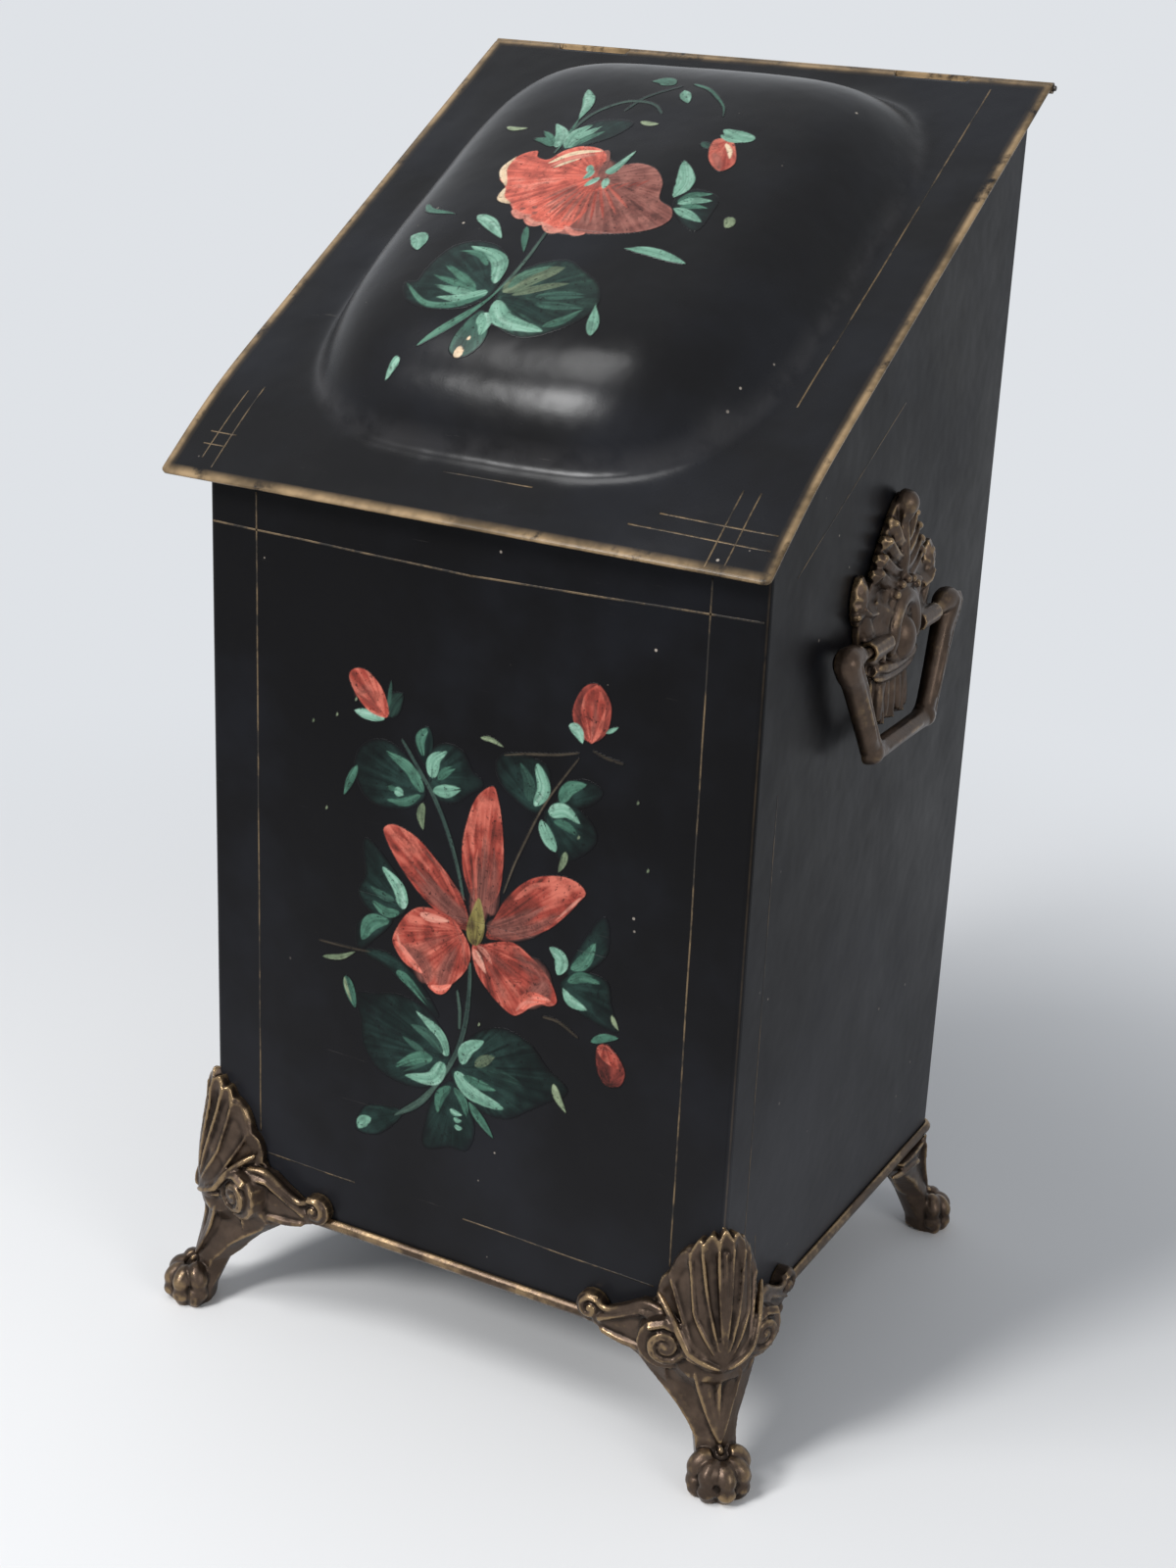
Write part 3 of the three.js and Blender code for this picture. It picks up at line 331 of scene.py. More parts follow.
def japanned(name, colours, decorate, sheen=0.07, gloss=(0.3, 0.4)):
    """Black japanned sheet: a satin gloss with haze, fine scratches, specks and shallow dents."""
    f = Finish(name, Specular_IOR_Level=sheen)
    spot = f.place()
    haze = f.band(f.cloud(spot, 11.0, 4.0), 0.42, 0.72)
    ground = f.mix(haze, colours.japan[:], colours.haze[:])
    streak = f.cloud(f.place((9, 9, 210)), 2.2, 5.0, 0.7)
    scratches = f.band(streak, 0.69, 0.74, 0.0, 0.35)
    ground = f.mix(scratches, ground, (0.06, 0.055, 0.05))
    dots = f.add("ShaderNodeTexVoronoi", {"Vector": spot, "Scale": 95.0})
    speck = f.band(dots.outputs["Distance"], 0.05, 0.09, 1.0, 0.0)
    sparse = f.band(f.cloud(spot, 23.0, 2.0), 0.6, 0.66)
    ground = f.mix(f.calc("MULTIPLY", speck, sparse), ground, (0.3, 0.26, 0.22))
    f.wire("Base Color", decorate(f, ground, spot))
    satin = f.band(f.cloud(spot, 17.0, 5.0, 0.65), 0.3, 0.75, *gloss)
    f.wire("Roughness", f.calc("ADD", satin, f.calc("MULTIPLY", scratches, 0.4)))
    dents = f.cloud(spot, 7.0, 2.0, 0.45)
    ripple = f.cloud(spot, 38.0, 2.0, 0.5)
    skin = f.cloud(spot, 900.0, 2.0)
    f.bump((dents, 0.006, 0.5), (ripple, 0.0011, 0.5), (skin, 0.00006, 0.3))
    return f.material


def worn_gilding(f, mask, spot, colours, ground):
    """Gold over the ground where the mask says, rubbed through in patches."""
    patches = f.band(f.cloud(spot, 60.0, 6.0, 0.7), 0.3, 0.47)
    wide = f.band(f.cloud(spot, 26.0, 4.0, 0.7), 0.35, 0.65)
    tone = f.mix(wide, dimmed(colours.gilt, 0.4), dimmed(colours.gilt, 1.15))
    return f.mix(f.calc("MULTIPLY", mask, patches), ground, tone)


def bronze(name, colours, brown):
    """Cast bronze, brown and dark in its hollows, and rubbed bright on its high edges."""
    f = Finish(name, Metallic=0.82, Specular_IOR_Level=0.4)
    spot = f.place()
    worn = f.attribute("Worn")
    patch = f.cloud(spot, 70.0, 5.0, 0.65)
    body = f.mix(f.band(patch, 0.35, 0.7), dimmed(brown, 0.6), brown[:])
    deep = f.mix(f.band(worn, 0.12, 0.46, 0.15, 1.0), colours.crevice[:], body)
    places = f.band(f.cloud(spot, 32.0, 3.0), 0.35, 0.62, -0.22, 0.1)
    grit = f.calc("MULTIPLY", f.calc("SUBTRACT", f.cloud(spot, 300.0, 4.0), 0.5), 0.5)
    edge = f.calc("ADD", f.calc("ADD", worn, grit), places)
    rubbed = f.band(edge, 0.62, 1.0)
    f.wire("Base Color", f.mix(rubbed, deep, colours.rubbed[:]))
    rough = f.band(patch, 0.3, 0.7, 0.27, 0.43)
    f.wire("Roughness", f.calc("SUBTRACT", rough, f.calc("MULTIPLY", rubbed, 0.1)))
    f.bump((f.cloud(spot, 420.0, 4.0), 0.00025, 0.5), (f.cloud(spot, 1600.0, 2.0), 0.00006, 0.4))
    return f.material


def plain_steel(colours):
    """Dull steel, as of old screws."""
    f = Finish("dull_steel", Metallic=0.9)
    spot = f.place()
    f.wire("Base Color", f.mix(f.cloud(spot, 160.0, 4.0), dimmed(colours.steel, 0.35), colours.steel[:]))
    f.wire("Roughness", f.band(f.cloud(spot, 90.0), 0.3, 0.7, 0.38, 0.6))
    f.bump((f.cloud(spot, 700.0), 0.0001, 0.4))
    return f.material


def spray_paint(f, ground, spot):
    """The decorator's paint, where a stroke covers the ground, with its finest flakes lost."""
    flakes = f.band(f.cloud(spot, 480.0, 3.0, 0.7), 0.6, 0.68, 1.0, 0.3)
    rubbed = f.band(f.cloud(spot, 150.0, 5.0, 0.75), 0.36, 0.56, 0.62, 1.0)
    kept = f.calc("MULTIPLY", flakes, rubbed)
    return f.mix(f.calc("MULTIPLY", f.attribute("Cover"), kept), ground, f.attribute("Paint", "Color"))


def gold_line(colours):
    """Thin gold striping, worn away in places."""
    f = Finish("gold_striping", Roughness=0.45, Metallic=0.3, Specular_IOR_Level=0.3)
    spot = f.place()
    kept = f.band(f.cloud(spot, 34.0, 6.0, 0.75), 0.42, 0.6)
    tone = f.mix(f.cloud(spot, 130.0, 3.0), dimmed(colours.gilt, 0.3), dimmed(colours.gilt, 0.75))
    f.wire("Base Color", f.mix(kept, (0.02, 0.017, 0.014), tone))
    return f.material


LID_SHINE = (0.16, (0.22, 0.3))  # the lid is glossier than the bin
GILT_BROWN = (0.1, 0.068, 0.046)


def finish(name):
    """The named finish, made when it is first asked for."""
    colours = bpy.context.scene.scuttle_colours
    makers = {
        "japanned_bin": lambda: japanned(name, colours, bin_wear_and_floor_reflection),
        "japanned_lid": lambda: japanned(name, colours, lid_wear_and_crease_highlight, *LID_SHINE),
        "browned_bronze": lambda: bronze(name, colours, colours.brown),
        "gilt_bronze": lambda: bronze(name, colours, GILT_BROWN),
        "dull_steel": lambda: plain_steel(colours),
        "painted_bin": lambda: japanned(name, colours, spray_paint),
        "painted_lid": lambda: japanned(name, colours, spray_paint, *LID_SHINE),
        "gold_striping": lambda: gold_line(colours),
    }
    return bpy.data.materials.get(name) or makers[name]()


def bin_wear_and_floor_reflection(f, ground, spot):
    """Gold left on the front folds and the hinge rolls, and a painted reflection of the floor, paler grey,
    on the lower half.
    """
    colours = bpy.context.scene.scuttle_colours
    axes = f.add("ShaderNodeSeparateXYZ", {"Vector": spot})
    across = f.calc("ABSOLUTE", axes.outputs["X"], 0.0)
    at_side = f.band(across, 0.1484, 0.1497, 0.0, 0.35)
    at_front = f.band(axes.outputs["Y"], (FRONT + 0.3) * MM, (FRONT + 1.6) * MM, 1.0, 0.0)
    fold = f.calc("MULTIPLY", at_side, at_front)
    # a painted reflection of the pale floor: paler grey in cloudy patches towards the bottom, strong on the
    # sides and faint on the front
    low = f.band(axes.outputs["Z"], 0.36, 0.08)
    floor_reflection = f.calc("MULTIPLY", low, f.band(f.cloud(spot, 6.0, 4.0), 0.3, 0.65, 0.5, 1.0))
    side = f.band(across, 0.1475, 0.1495, 0.14, 0.75)
    ground = f.mix(f.calc("MULTIPLY", floor_reflection, side), ground, (0.05, 0.05, 0.055))
    rolls = f.band(axes.outputs["Z"], 0.6448, 0.6462)
    return worn_gilding(f, f.calc("MAXIMUM", fold, rolls), spot, colours, ground)


def lid_wear_and_crease_highlight(f, ground, spot):
    """A worn gold border round the lid, and a painted highlight, paler grey in patches, along the crease
    round its dome.
    """
    colours = bpy.context.scene.scuttle_colours
    # a painted highlight: paler grey along the dome's crease, in patches
    crease = f.calc("MULTIPLY", f.attribute("Crease"), f.band(f.cloud(spot, 46.0, 5.0), 0.3, 0.6))
    ground = f.mix(f.calc("MULTIPLY", crease, 0.3), ground, (0.06, 0.058, 0.06))
    return worn_gilding(f, f.attribute("Border"), spot, colours, ground)


# ---------------------------------------------------------------- castings

WEAR_ROUNDS = 9  # how far round a point its neighbours count
FULL_WEAR = 0.0005  # from a deep hollow, 0, to a worn edge, 1, in metres
REAR_SET = 8.5  # how much nearer to its corner a rear foot stands than a front one, in millimetres
SEAT = 0.4  # how deep the back of a casting lies in the wall of the bin, in millimetres


def rows_of(elements, key, width, kind):
    """A property of all of a mesh's points or edges, one row for each."""
    values = np.empty(len(elements) * width, kind)
    elements.foreach_get(key, values)
    return values.reshape(-1, width)


def edge_wear(mesh):
    """Keeps in "Worn" how much each point stands out from its neighbours: 0.5 is flat."""
    count = len(mesh.vertices)
    co = rows_of(mesh.vertices, "co", 3, float)
    a, b = rows_of(mesh.edges, "vertices", 2, int).T
    normals = rows_of(mesh.vertices, "normal", 3, float)
    degree = np.bincount(a, minlength=count) + np.bincount(b, minlength=count)
    degree = np.maximum(degree, 1)[:, None]

    def relaxed(values):
        total = np.zeros_like(values)
        np.add.at(total, a, values[b])
        np.add.at(total, b, values[a])
        return total / degree

    smooth = co
    for _ in range(WEAR_ROUNDS):
        smooth = 0.5 * smooth + 0.5 * relaxed(smooth)
    stand = np.einsum("ij,ij->i", co - smooth, normals)
    stand = relaxed(relaxed(stand[:, None]))[:, 0]
    worn = np.clip(0.5 + stand / FULL_WEAR, 0, 1)
    mesh.attributes.new("Worn", "FLOAT", "POINT").data.foreach_set("value", worn.astype(np.float32))


def seat_on_bin(mesh):
    """Flattens what a casting has inside the bin against its back face, and holds it in the CAD box."""
    co = rows_of(mesh.vertices, "co", 3, float) / MM
    across = np.abs(co[:, 0]) - (BIN_HALF_WIDTH - SEAT)
    deep = np.abs(co[:, 1] - BIN_MIDDLE) - (BIN_HALF_DEPTH - SEAT)
    inside = (across < 0) & (deep < 0) & (co[:, 2] > BIN_BOTTOM - 0.3)
    to_side = inside & (across >= deep)
    to_front = inside & (across < deep)
    co[to_side, 0] = np.sign(co[to_side, 0]) * (BIN_HALF_WIDTH - SEAT)
    co[to_front, 1] = BIN_MIDDLE + np.sign(co[to_front, 1] - BIN_MIDDLE) * (BIN_HALF_DEPTH - SEAT)
    co = np.clip(co * MM, *CAD_BOX)
    mesh.vertices.foreach_set("co", co.ravel())


def cast(
    name, node, body, slot, details=None, look="browned_bronze", grain=None, softness=2, mirror_of=None
):
    """A casting in the place of a node: the node's solid and its details, grown into one skin."""
    sizes = bpy.context.scene.scuttle_sizes
    if mirror_of:
        mesh = mirror_of.data.copy()
        mesh.transform(Matrix.Scale(-1, 4, (1, 0, 0)))
        mesh.flip_normals()
    else:
        bm = bmesh.new()
        bm.from_mesh(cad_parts[node].data)
        bmesh.ops.scale(bm, vec=(1 / MM,) * 3, verts=bm.verts)
        bmesh.ops.remove_doubles(bm, verts=bm.verts, dist=1e-3)
        if details:
            details(bm)
        bmesh.ops.scale(bm, vec=(MM,) * 3, verts=bm.verts)
        rough = bpy.data.meshes.new(name + "_rough")
        bm.to_mesh(rough)
        bm.free()
        holder = bpy.data.objects.new(name + "_rough", rough)
        bpy.context.scene.collection.objects.link(holder)
        grow = holder.modifiers.new("grow", "REMESH")
        grow.mode = "VOXEL"
        grow.voxel_size = (grain or sizes.grain) * MM * 1
        soften = holder.modifiers.new("soften", "SMOOTH")
        soften.factor = 0.5
        soften.iterations = softness
        bpy.context.view_layer.update()
        graph = bpy.context.evaluated_depsgraph_get()
        mesh = bpy.data.meshes.new_from_object(holder.evaluated_get(graph))
        bpy.data.objects.remove(holder)
        bpy.data.meshes.remove(rough)
        seat_on_bin(mesh)
        mesh.update()
        edge_wear(mesh)
    mesh.name = name
    made = show(name, mesh, body, finish(look))
    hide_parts(node)
    return made


def cast_pair(name, node, details, body="scuttle", mirror_body="scuttle", **how):
    """A casting on the right, and its mirror image on the left."""
    right = cast(f"{name}_right", f"{node}_right", body, "browned_brass", details, **how)
    cast(f"{name}_left", f"{node}_left", mirror_body, "browned_brass", mirror_of=right)


def round_corner(w, z, out):
    """Along the wall from the front right corner (+ on the side, - on the front), up, and out."""
    radius = 8.0  # of the forms that run round the corner; the bin's own fold is sharper
    quarter = radius * pi / 4
    cx, cy = BIN_HALF_WIDTH - radius, FRONT + radius
    if w > quarter:
        return Vector((BIN_HALF_WIDTH + out, cy + w - quarter, z))
    if w < -quarter:
        return Vector((cx + w + quarter, FRONT - out, z))
    angle = w / radius - pi / 4
    return Vector((cx + (radius + out) * cos(angle), cy + (radius + out) * sin(angle), z))


def on_diagonal(out, side, z):
    """Out from the front right corner along the diagonal, sideways from it, and up."""
    return Vector((BIN_HALF_WIDTH + (out + side) * sqrt(0.5), FRONT + (side - out) * sqrt(0.5), z))


def volute_plane(side):
    """A plane beside the shell that stands off the wall, turned towards the corner."""
    turn = radians(20)

    def front(w, z, away):
        return Vector(
            (
                BIN_HALF_WIDTH - 21 - w * cos(turn) + away * sin(turn),
                FRONT - 14.5 - w * sin(turn) - away * cos(turn),
                z,
            )
        )

    if side < 0:
        return front

    def across(w, z, away):
        p = front(w, z, away)
        return Vector((BIN_HALF_WIDTH + FRONT - p.y, FRONT + BIN_HALF_WIDTH - p.x, z))

    return across


# how far the shell reaches from the corner's foot: an angle above the horizontal, and millimetres
SHELL_FAN = (0, 12, 25, 38, 50, 65, 78, 90)
SHELL_REACH = (8, 16, 28, 37, 43, 50, 59, 68)
SHELL_SHARE, SHELL_REST = 0.84, 0.16  # of its columns, for the fluted half and to close it below


def shell_form(bm):
    """The fluted shell over the corner, with a scalloped, curled edge and sharp ribs."""
    flutes = bpy.context.scene.scuttle_sizes.flutes
    # flutes crowd at the middle, where the shell bends round the corner
    angles = np.linspace(0, pi, 721)
    shares = 0.68 * angles / pi + 0.32 * (0.5 + 0.5 * np.tanh((angles - pi / 2) / 0.15))
    shares[0], shares[-1] = 0, 1

    def ridge(angle):
        """How far an angle lies from the hollow of its flute: 0 at the hollow's middle, 1 on a rib."""
        if not 0 < angle < pi:
            return 1.0
        return 1 - abs(sin(pi * flutes * float(np.interp(angle, angles, shares))))

    def reach(angle):
        above = min(angle, pi - angle) if 0 < angle < pi else 0
        far = float(np.interp(degrees(above), SHELL_FAN, SHELL_REACH))
        return far * (1.055 - 0.06 * ridge(angle))

    def height(share, angle):
        base = 4.7 + 9.8 * (1 - share**2)
        curl = 3.0 * max(0.0, sin(angle)) ** 2 * smoothstep(share, 0.76, 0.95)
        hollow = 2.8 * min(share * 1.6, 1) * (1 - ridge(angle)) ** 0.7
        return base + curl - hollow * (1 - 0.2 * smoothstep(share, 0.85, 1))

    def turn(u):
        if u < SHELL_SHARE:
            return float(np.interp(u / SHELL_SHARE, shares, angles))
        return pi * (1 + (u - SHELL_SHARE) / SHELL_REST)

    mound(bm, (0, BIN_BOTTOM), reach, height, round_corner, 22 * flutes, 30, -0.5, turn)
    for i in range(1, flutes):
        angle = float(np.interp(i / flutes, shares, angles))
        far = reach(angle)
        path = []
        for share in (0.1, 0.35, 0.6, 0.82, 0.95):
            out = height(share, angle) - 0.15
            path.append([far * share * cos(angle), BIN_BOTTOM + far * share * sin(angle), out])
        tube(bm, path, [0.6, 0.85, 0.95, 1.0, 0.7], round_corner)


def front_foot_form(bm):
    """Fine work of a front foot: shell, scrolls, leaves, shin and paw."""
    shell_form(bm)
    for side in (-1, 1):
        near = volute_plane(side)

        def wall(w, z, out, side=side):
            return round_corner(side * w, z, out)

        # the large volute beside the shell, and the small scroll at the wing's tip, each with its eye
        spiral(bm, (0, 74), 13.4, 0.5, 2.1, 1.45, 0.8, 1, near, rise=1.4)
        mound(bm, (0, 74), lambda a: 2.4, lambda s, a: 1.4 + 2.0 * (1 - s * s), near, 18, 8, -1)
        spiral(bm, (65.3, 75), 7.4, 7.3, 1.25, 1.3, 2.2, -1, wall)
        mound(bm, (65.3, 75), lambda a: 1.9, lambda s, a: 7.5 + 2.4 * (1 - s * s), wall, 16, 8, 6)
        # the crest that comes down between shell and volute, and ends at the keel
        crest = [[29, 98, 7.4], [22, 93, 10.6], [14, 85, 14], [7.5, 76, 15.2], [3, 70, 15.4], [0.5, 67, 15]]
        tube(bm, crest, [1.0, 1.8, 2.0, 1.8, 1.5, 1.0], wall)
        # the wing's moulded edges run from the volute out to the small scroll
        upper = [[22, 88.5, 9.6], [34, 88.5, 7.6], [45, 82, 6.8], [56, 77.6, 7.0], [64, 81.5, 7.0]]
        tube(bm, upper, [1.6, 2.6, 2.4, 2.0, 1.2], wall)
        lower = [[25, 61, 8.6], [36, 63, 7.6], [48, 63.6, 7.4], [60, 65.8, 7.4]]
        tube(bm, lower, [1.6, 2.4, 2.2, 1.4], wall)
    shin_details(bm, 0)
    paw_details(bm, 1.0, 0)


def shin_details(bm, back):
    """The raised, pointed panel down the front of the leg, with a keel and a bead at its tip."""

    def shin(out, z, side):
        return on_diagonal(out - back, side, z)

    for side in (-1, 1):
        panel = ((0.6, 63, 6.5), (1.4, 52, 5), (4.6, 42, 3.2), (9, 33, 1.6), (12.6, 26, 0))
        edge = ((4.2, 62, 12.4), (5.4, 52, 9.8), (7.6, 42, 6.6), (10.6, 33, 3.4), (13.8, 25, 0))
        tube(bm, [[out, z, side * w] for out, z, w in panel], [5.6, 5.4, 4.2, 2.8, 1.2], shin, sides=12)
        tube(bm, [[out, z, side * w] for out, z, w in edge], [0.8, 1.0, 1.0, 0.9, 0.8], shin)
    tube(bm, [[7.4, 62, 0], [7.2, 50, 0], [9.2, 38, 0], [12.8, 27, 0]], [0.9, 1.2, 1.1, 0.8], shin)
    tube(bm, [[14.0, 24.5, 0], [14.8, 22.6, 0], [15.4, 20.6, 0]], [1.0, 1.7, 1.0], shin)


def paw_details(bm, size, back):
    """The swollen joints of the toes, side by side, with webs between them."""
    spread = radians(47)
    joints = ((9, 18), (12.6, 14.6), (13.2, 11), (12.8, 7.6))
    thick = [size * r for r in (4.4, 5.7, 5.3, 4.2, 5.4, 4.7)]
    for i in range(-2, 3):
        angle = i * spread

        def toe(reach, z, side, angle=angle):
            r = size * reach * 0.9
            out = 14.4 - back + r * cos(angle) - side * sin(angle)
            return on_diagonal(out, r * sin(angle) + side * cos(angle), z)

        def web(reach, z, side, angle=angle + spread / 2):
            return toe(reach, z, side, angle)

        low = 1 - 0.16 * cos(angle)
        path = [[4, 19 * low, 0], *([reach, z * low, 0] for reach, z in joints), [11.8, 4.9, 0]]
        tube(bm, path, thick, toe, sides=14, steps=24)
        if i < 2:
            tube(bm, [[8, 12, 0], [10.8, 8, 0], [10.2, 4.4, 0]], [size * r for r in (2.6, 3.6, 3.2)], web)


def rear_foot_form(bm):
    """Fine work of a rear foot: shin, paw and small leaf brackets, made at the front and turned round."""
    middle = Matrix.Translation((0, -BIN_MIDDLE, 0))
    bmesh.ops.scale(bm, vec=(1, -1, 1), verts=bm.verts, space=middle)
    shin_details(bm, REAR_SET)
    paw_details(bm, 0.9, REAR_SET)
    for side in (-1, 1):

        def wall(w, z, out, side=side):
            return round_corner(side * w, z, out)

        tube(bm, [[20, 56, 6], [34, 57.5, 4.6], [46, 58, 3.8], [58, 61, 3.2]], [1.6, 2.2, 2.0, 1.0], wall)
    bmesh.ops.scale(bm, vec=(1, -1, 1), verts=bm.verts, space=middle)
    bmesh.ops.recalc_face_normals(bm, faces=bm.faces)


def on_side(w, z, out):
    """Along the right-hand wall from its middle, up, and out from it."""
    return Vector((BIN_HALF_WIDTH + out, BIN_MIDDLE + w, z))


def handle_form(bm):
    """Fine work of a handle plate: palmette, hood, drop, ears, collar and strap."""
    # the palmette: curled leaves on both sides of a swelling stem, under a knob
    stem = [[0, 428, 4], [0, 438, 5.6], [0, 450, 5], [0, 462, 4.6]]
    tube(bm, stem, [3.6, 4.2, 3.4, 2.6], on_side, sides=12)
    knob(bm, (0, 466), 6.8, 5.4, 6.4, on_side, 24, 12, 3)
    tips = [[25.5, 436], [22.5, 443], [18, 450.5], [12.6, 458]]
    for side in (-1, 1):
        for i, (y, z) in enumerate(tips):
            path = []
            for share in (0, 0.35, 0.7, 1.0):
                up = lerp(425 + 7 * i, z, share**1.5)
                path.append([side * lerp(1.5, y, share), up, 5.2 - 1.0 * share])
            tube(bm, path, [2.0, 3.1, 3.2, 2.4], on_side, sides=12)
            tube(bm, [[p[0], p[1] + 1.6, p[2] + 2.6] for p in path], [0.5, 0.9, 1.0, 0.8], on_side)
            knob(bm, (side * (y + 0.6), z + 0.8), 2.7 - 0.2 * i, 5, 3.2, on_side, 18, 8, 2)
    # beads where the leaves spring from the hood
    for k in range(5):
        angle = radians(52 + 19 * k)
        knob(bm, (21 * cos(angle), 405 + 24.5 * sin(angle)), 2.3, 9.4, 2.6, on_side, 16, 8, 6)
    # the smooth hood that arches over the drop, and the pleats behind it
    for lift, wide, tall, thick in ((8.6, 13.4, 17, 4.6), (6.4, 20, 21.5, 3.4), (4.6, 26, 26, 3.2)):
        arch = []
        for k in range(9):
            angle = radians(lerp(-42, 222, k / 8))
            arch.append([wide * cos(angle), 404 + tall * sin(angle), lift])
        tube(bm, arch, [1.4] + [thick] * 7 + [1.4], on_side, sides=12, steps=44)

    def oval(angle):
        return 1 / hypot(cos(angle) / 9.2, sin(angle) / 12.5)

    mound(bm, (0, 400), oval, lambda s, a: 7 + 9.4 * sqrt(max(0, 1 - s * s)), on_side, 36, 16, 4)
    # leaves that sweep from the hood out to the ears
    for side in (-1, 1):
        for k in range(4):
            path = [
                [side * (19 + 2 * k), 390 + 4.4 * k, 5.2],
                [side * (29 + 1.5 * k), 396 + 5 * k, 4.8],
                [side * (36.5 + k), 406 + 5 * k, 4],
                [side * (40 + k), 416 + 4.4 * k, 3.8],
            ]
            tube(bm, path, [1.6, 3.0, 2.8, 1.4], on_side, sides=12)
        for k in range(4):
            y, z = side * (46.4 - 1.1 * k), 420.5 + 4.4 * k
            knob(bm, (y, z), 2.5, 3.6, 2.8, on_side, 16, 8, 1)
            root, bend = [side * 40.5, 420.5 + 2 * k, 4.4], [side * (43 - 0.4 * k), 421.5 + 3.6 * k, 4.8]
            tube(bm, [root, bend, [y, z, 4.4]], [1.0, 1.7, 1.2], on_side)
    # the sagging collar and the folds of the strap
    for drop, thick in ((0, 3.2), (5.2, 2.6)):
        across = (-25, -17, -8, 0, 8, 17, 25)
        path = [[y, 390.5 - drop - 3.4 * cos(y / 26 * 1.5), 7.6 - 0.2 * drop] for y in across]
        tube(bm, path, [1.2] + [thick] * 5 + [1.2], on_side, sides=12)
    for k in range(-2, 3):
        edge = 8.2 * k
        path = [[edge * 0.8, 386, 5.2], [edge * 0.9, 378, 5], [edge * 0.97, 368, 5.6], [edge, 359.5, 6.2]]
        tube(bm, path, [1.6, 2.9, 3.1, 2.2], on_side, sides=12)


def on_bail(w, drop, out):
    """A point by its place along the bail's pivots, down its drop, and away from the wall."""
    lean = radians(4.4)
    x = BAIL_OUT + drop * sin(lean) + out * cos(lean)
    return Vector((x, w, BAIL_UP - drop * cos(lean) + out * sin(lean)))


# the bail's bar from one pivot to its middle: along the pivots, down, and its radius
BAIL_HALF = (
    (47, -0.2, 2.7), (52, -1, 4.3), (58, -2.4, 6.0), (64, -1.6, 6.7), (61.5, 4, 6.4), (56, 11, 5.8),
    (45, 31, 5.2), (36.5, 46, 5.1), (32.5, 50.2, 5.7), (27, 51, 5.1), (9, 51, 4.9),
)


def bail_form(bm):
    """The round bar of the bail, with a moulding along it and knuckles at its corners."""
    bar = [*BAIL_HALF, *((-w, drop, thick) for w, drop, thick in reversed(BAIL_HALF))]
    path = [[w, drop, 0] for w, drop, _ in bar]
    tube(bm, path, [thick for _, _, thick in bar], on_bail, sides=16, steps=150)
    for side in (-1, 1):
        moulding = [[side * 57, 9, 4.9], [side * 45, 31, 4.5], [side * 37.4, 44.6, 4.3]]
        tube(bm, moulding, [1.0, 1.7, 1.0], on_bail)
        knob(bm, (side * 33.6, 50.4), 6.2, 0, 6.4, on_bail, 24, 10, -3)
        knob(bm, (side * 64, -1.2), 6.6, 0, 6.9, on_bail, 24, 10, -4)
    tube(bm, [[-26, 51, 4.3], [0, 51, 4.1], [26, 51, 4.3]], [1.0, 1.7, 1.0], on_bail)


# ---------------------------------------------------------------- the lid

LID_HALF_WIDTH = 160
LID_LENGTH = 355.0
LID_SLOPE, LIP_SLOPE = 30.6, 38.8  # degrees
LIP_FROM, LIP_TO = 262, 342  # where down the slope the lid bends from the one to the other
DOME_FROM, DOME_TO = 23.0, 318.0
DOME_HALF_WIDTH = 123
DOME_SHOULDER = 70  # how far in from its crease the dome is fully up
DOME_STEEPNESS = 3.2
DOME_SQUARES = (4.5, 3.7)  # how square its outline is, towards the hinge and towards the lip
ROLL = 2.7  # radius of the lid's rolled knuckles
ROLLS = ((-159.85, -118.15), (-76.85, 76.85), (118.15, 159.85))
NOTCHES = (77.0, 118.0)  # where the bin's own knuckles stand, on both sides
NOTCH_DEPTH = 4.4


def lid_line():
    """The lid's top line from the side, every millimetre down the slope: y, z and slope."""
    slope = radians(LID_SLOPE)
    spots = [(HINGE_BACK - sin(slope) * ROLL, HINGE_UP + cos(slope) * ROLL, slope)]
    for s in range(1, 358):
        slope = radians(lerp(LID_SLOPE, LIP_SLOPE, smoothstep(s, LIP_FROM, LIP_TO)))
        y, z, _ = spots[-1]
        spots.append((y - cos(slope), z - sin(slope), slope))
    return spots


LID_LINE = lid_line()


def dome_inset(x, s):
    """How far a place on the lid lies inside the crease of the dome; negative outside it."""
    middle = (DOME_FROM + DOME_TO) / 2
    square = DOME_SQUARES[1] if s > middle else DOME_SQUARES[0]
    across = (abs(x) / DOME_HALF_WIDTH) ** square
    down = (2 * abs(s - middle) / (DOME_TO - DOME_FROM)) ** square
    return DOME_HALF_WIDTH * (1 - (across + down) ** (1 / square))


def lid_height(x, s):
    """Height of the lid's skin above its flat: the dome, with shallow dents."""
    sizes = bpy.context.scene.scuttle_sizes
    inset = dome_inset(x, s)
    crown = sizes.dome_crown * smoothstep(inset, 40, 125)
    # the crease is rounded over 3 mm, with a shallow groove along it
    inset = 0.5 * (inset + sqrt(inset * inset + 9)) - 0.35 * max(0, 1 - abs(inset) / 20)
    dome = sizes.dome_rise * (1 - (1 - clamp(inset / DOME_SHOULDER)) ** DOME_STEEPNESS)
    wide = noise.noise(Vector((x / 60, s / 60, 3.1)))
    small = noise.noise(Vector((x / 23, s / 23, 8.7)))
    near_edge = min(LID_HALF_WIDTH - abs(x), s, LID_LENGTH - s)
    dents = sizes.dents * (wide * 0.9 + small * 0.3) * clamp(near_edge / 12)
    return dome + crown + dents - 0.25 * sizes.dents


def on_lid(x, s, h):
    """A point of the lid: across, down the slope, and above the flat of the lid."""
    low = int(clamp(s, 0, len(LID_LINE) - 2))
    a, b = LID_LINE[low], LID_LINE[low + 1]
    y, z, slope = (lerp(p, q, s - low) for p, q in zip(a, b))
    return Vector((x, y - h * sin(slope), z + h * cos(slope)))


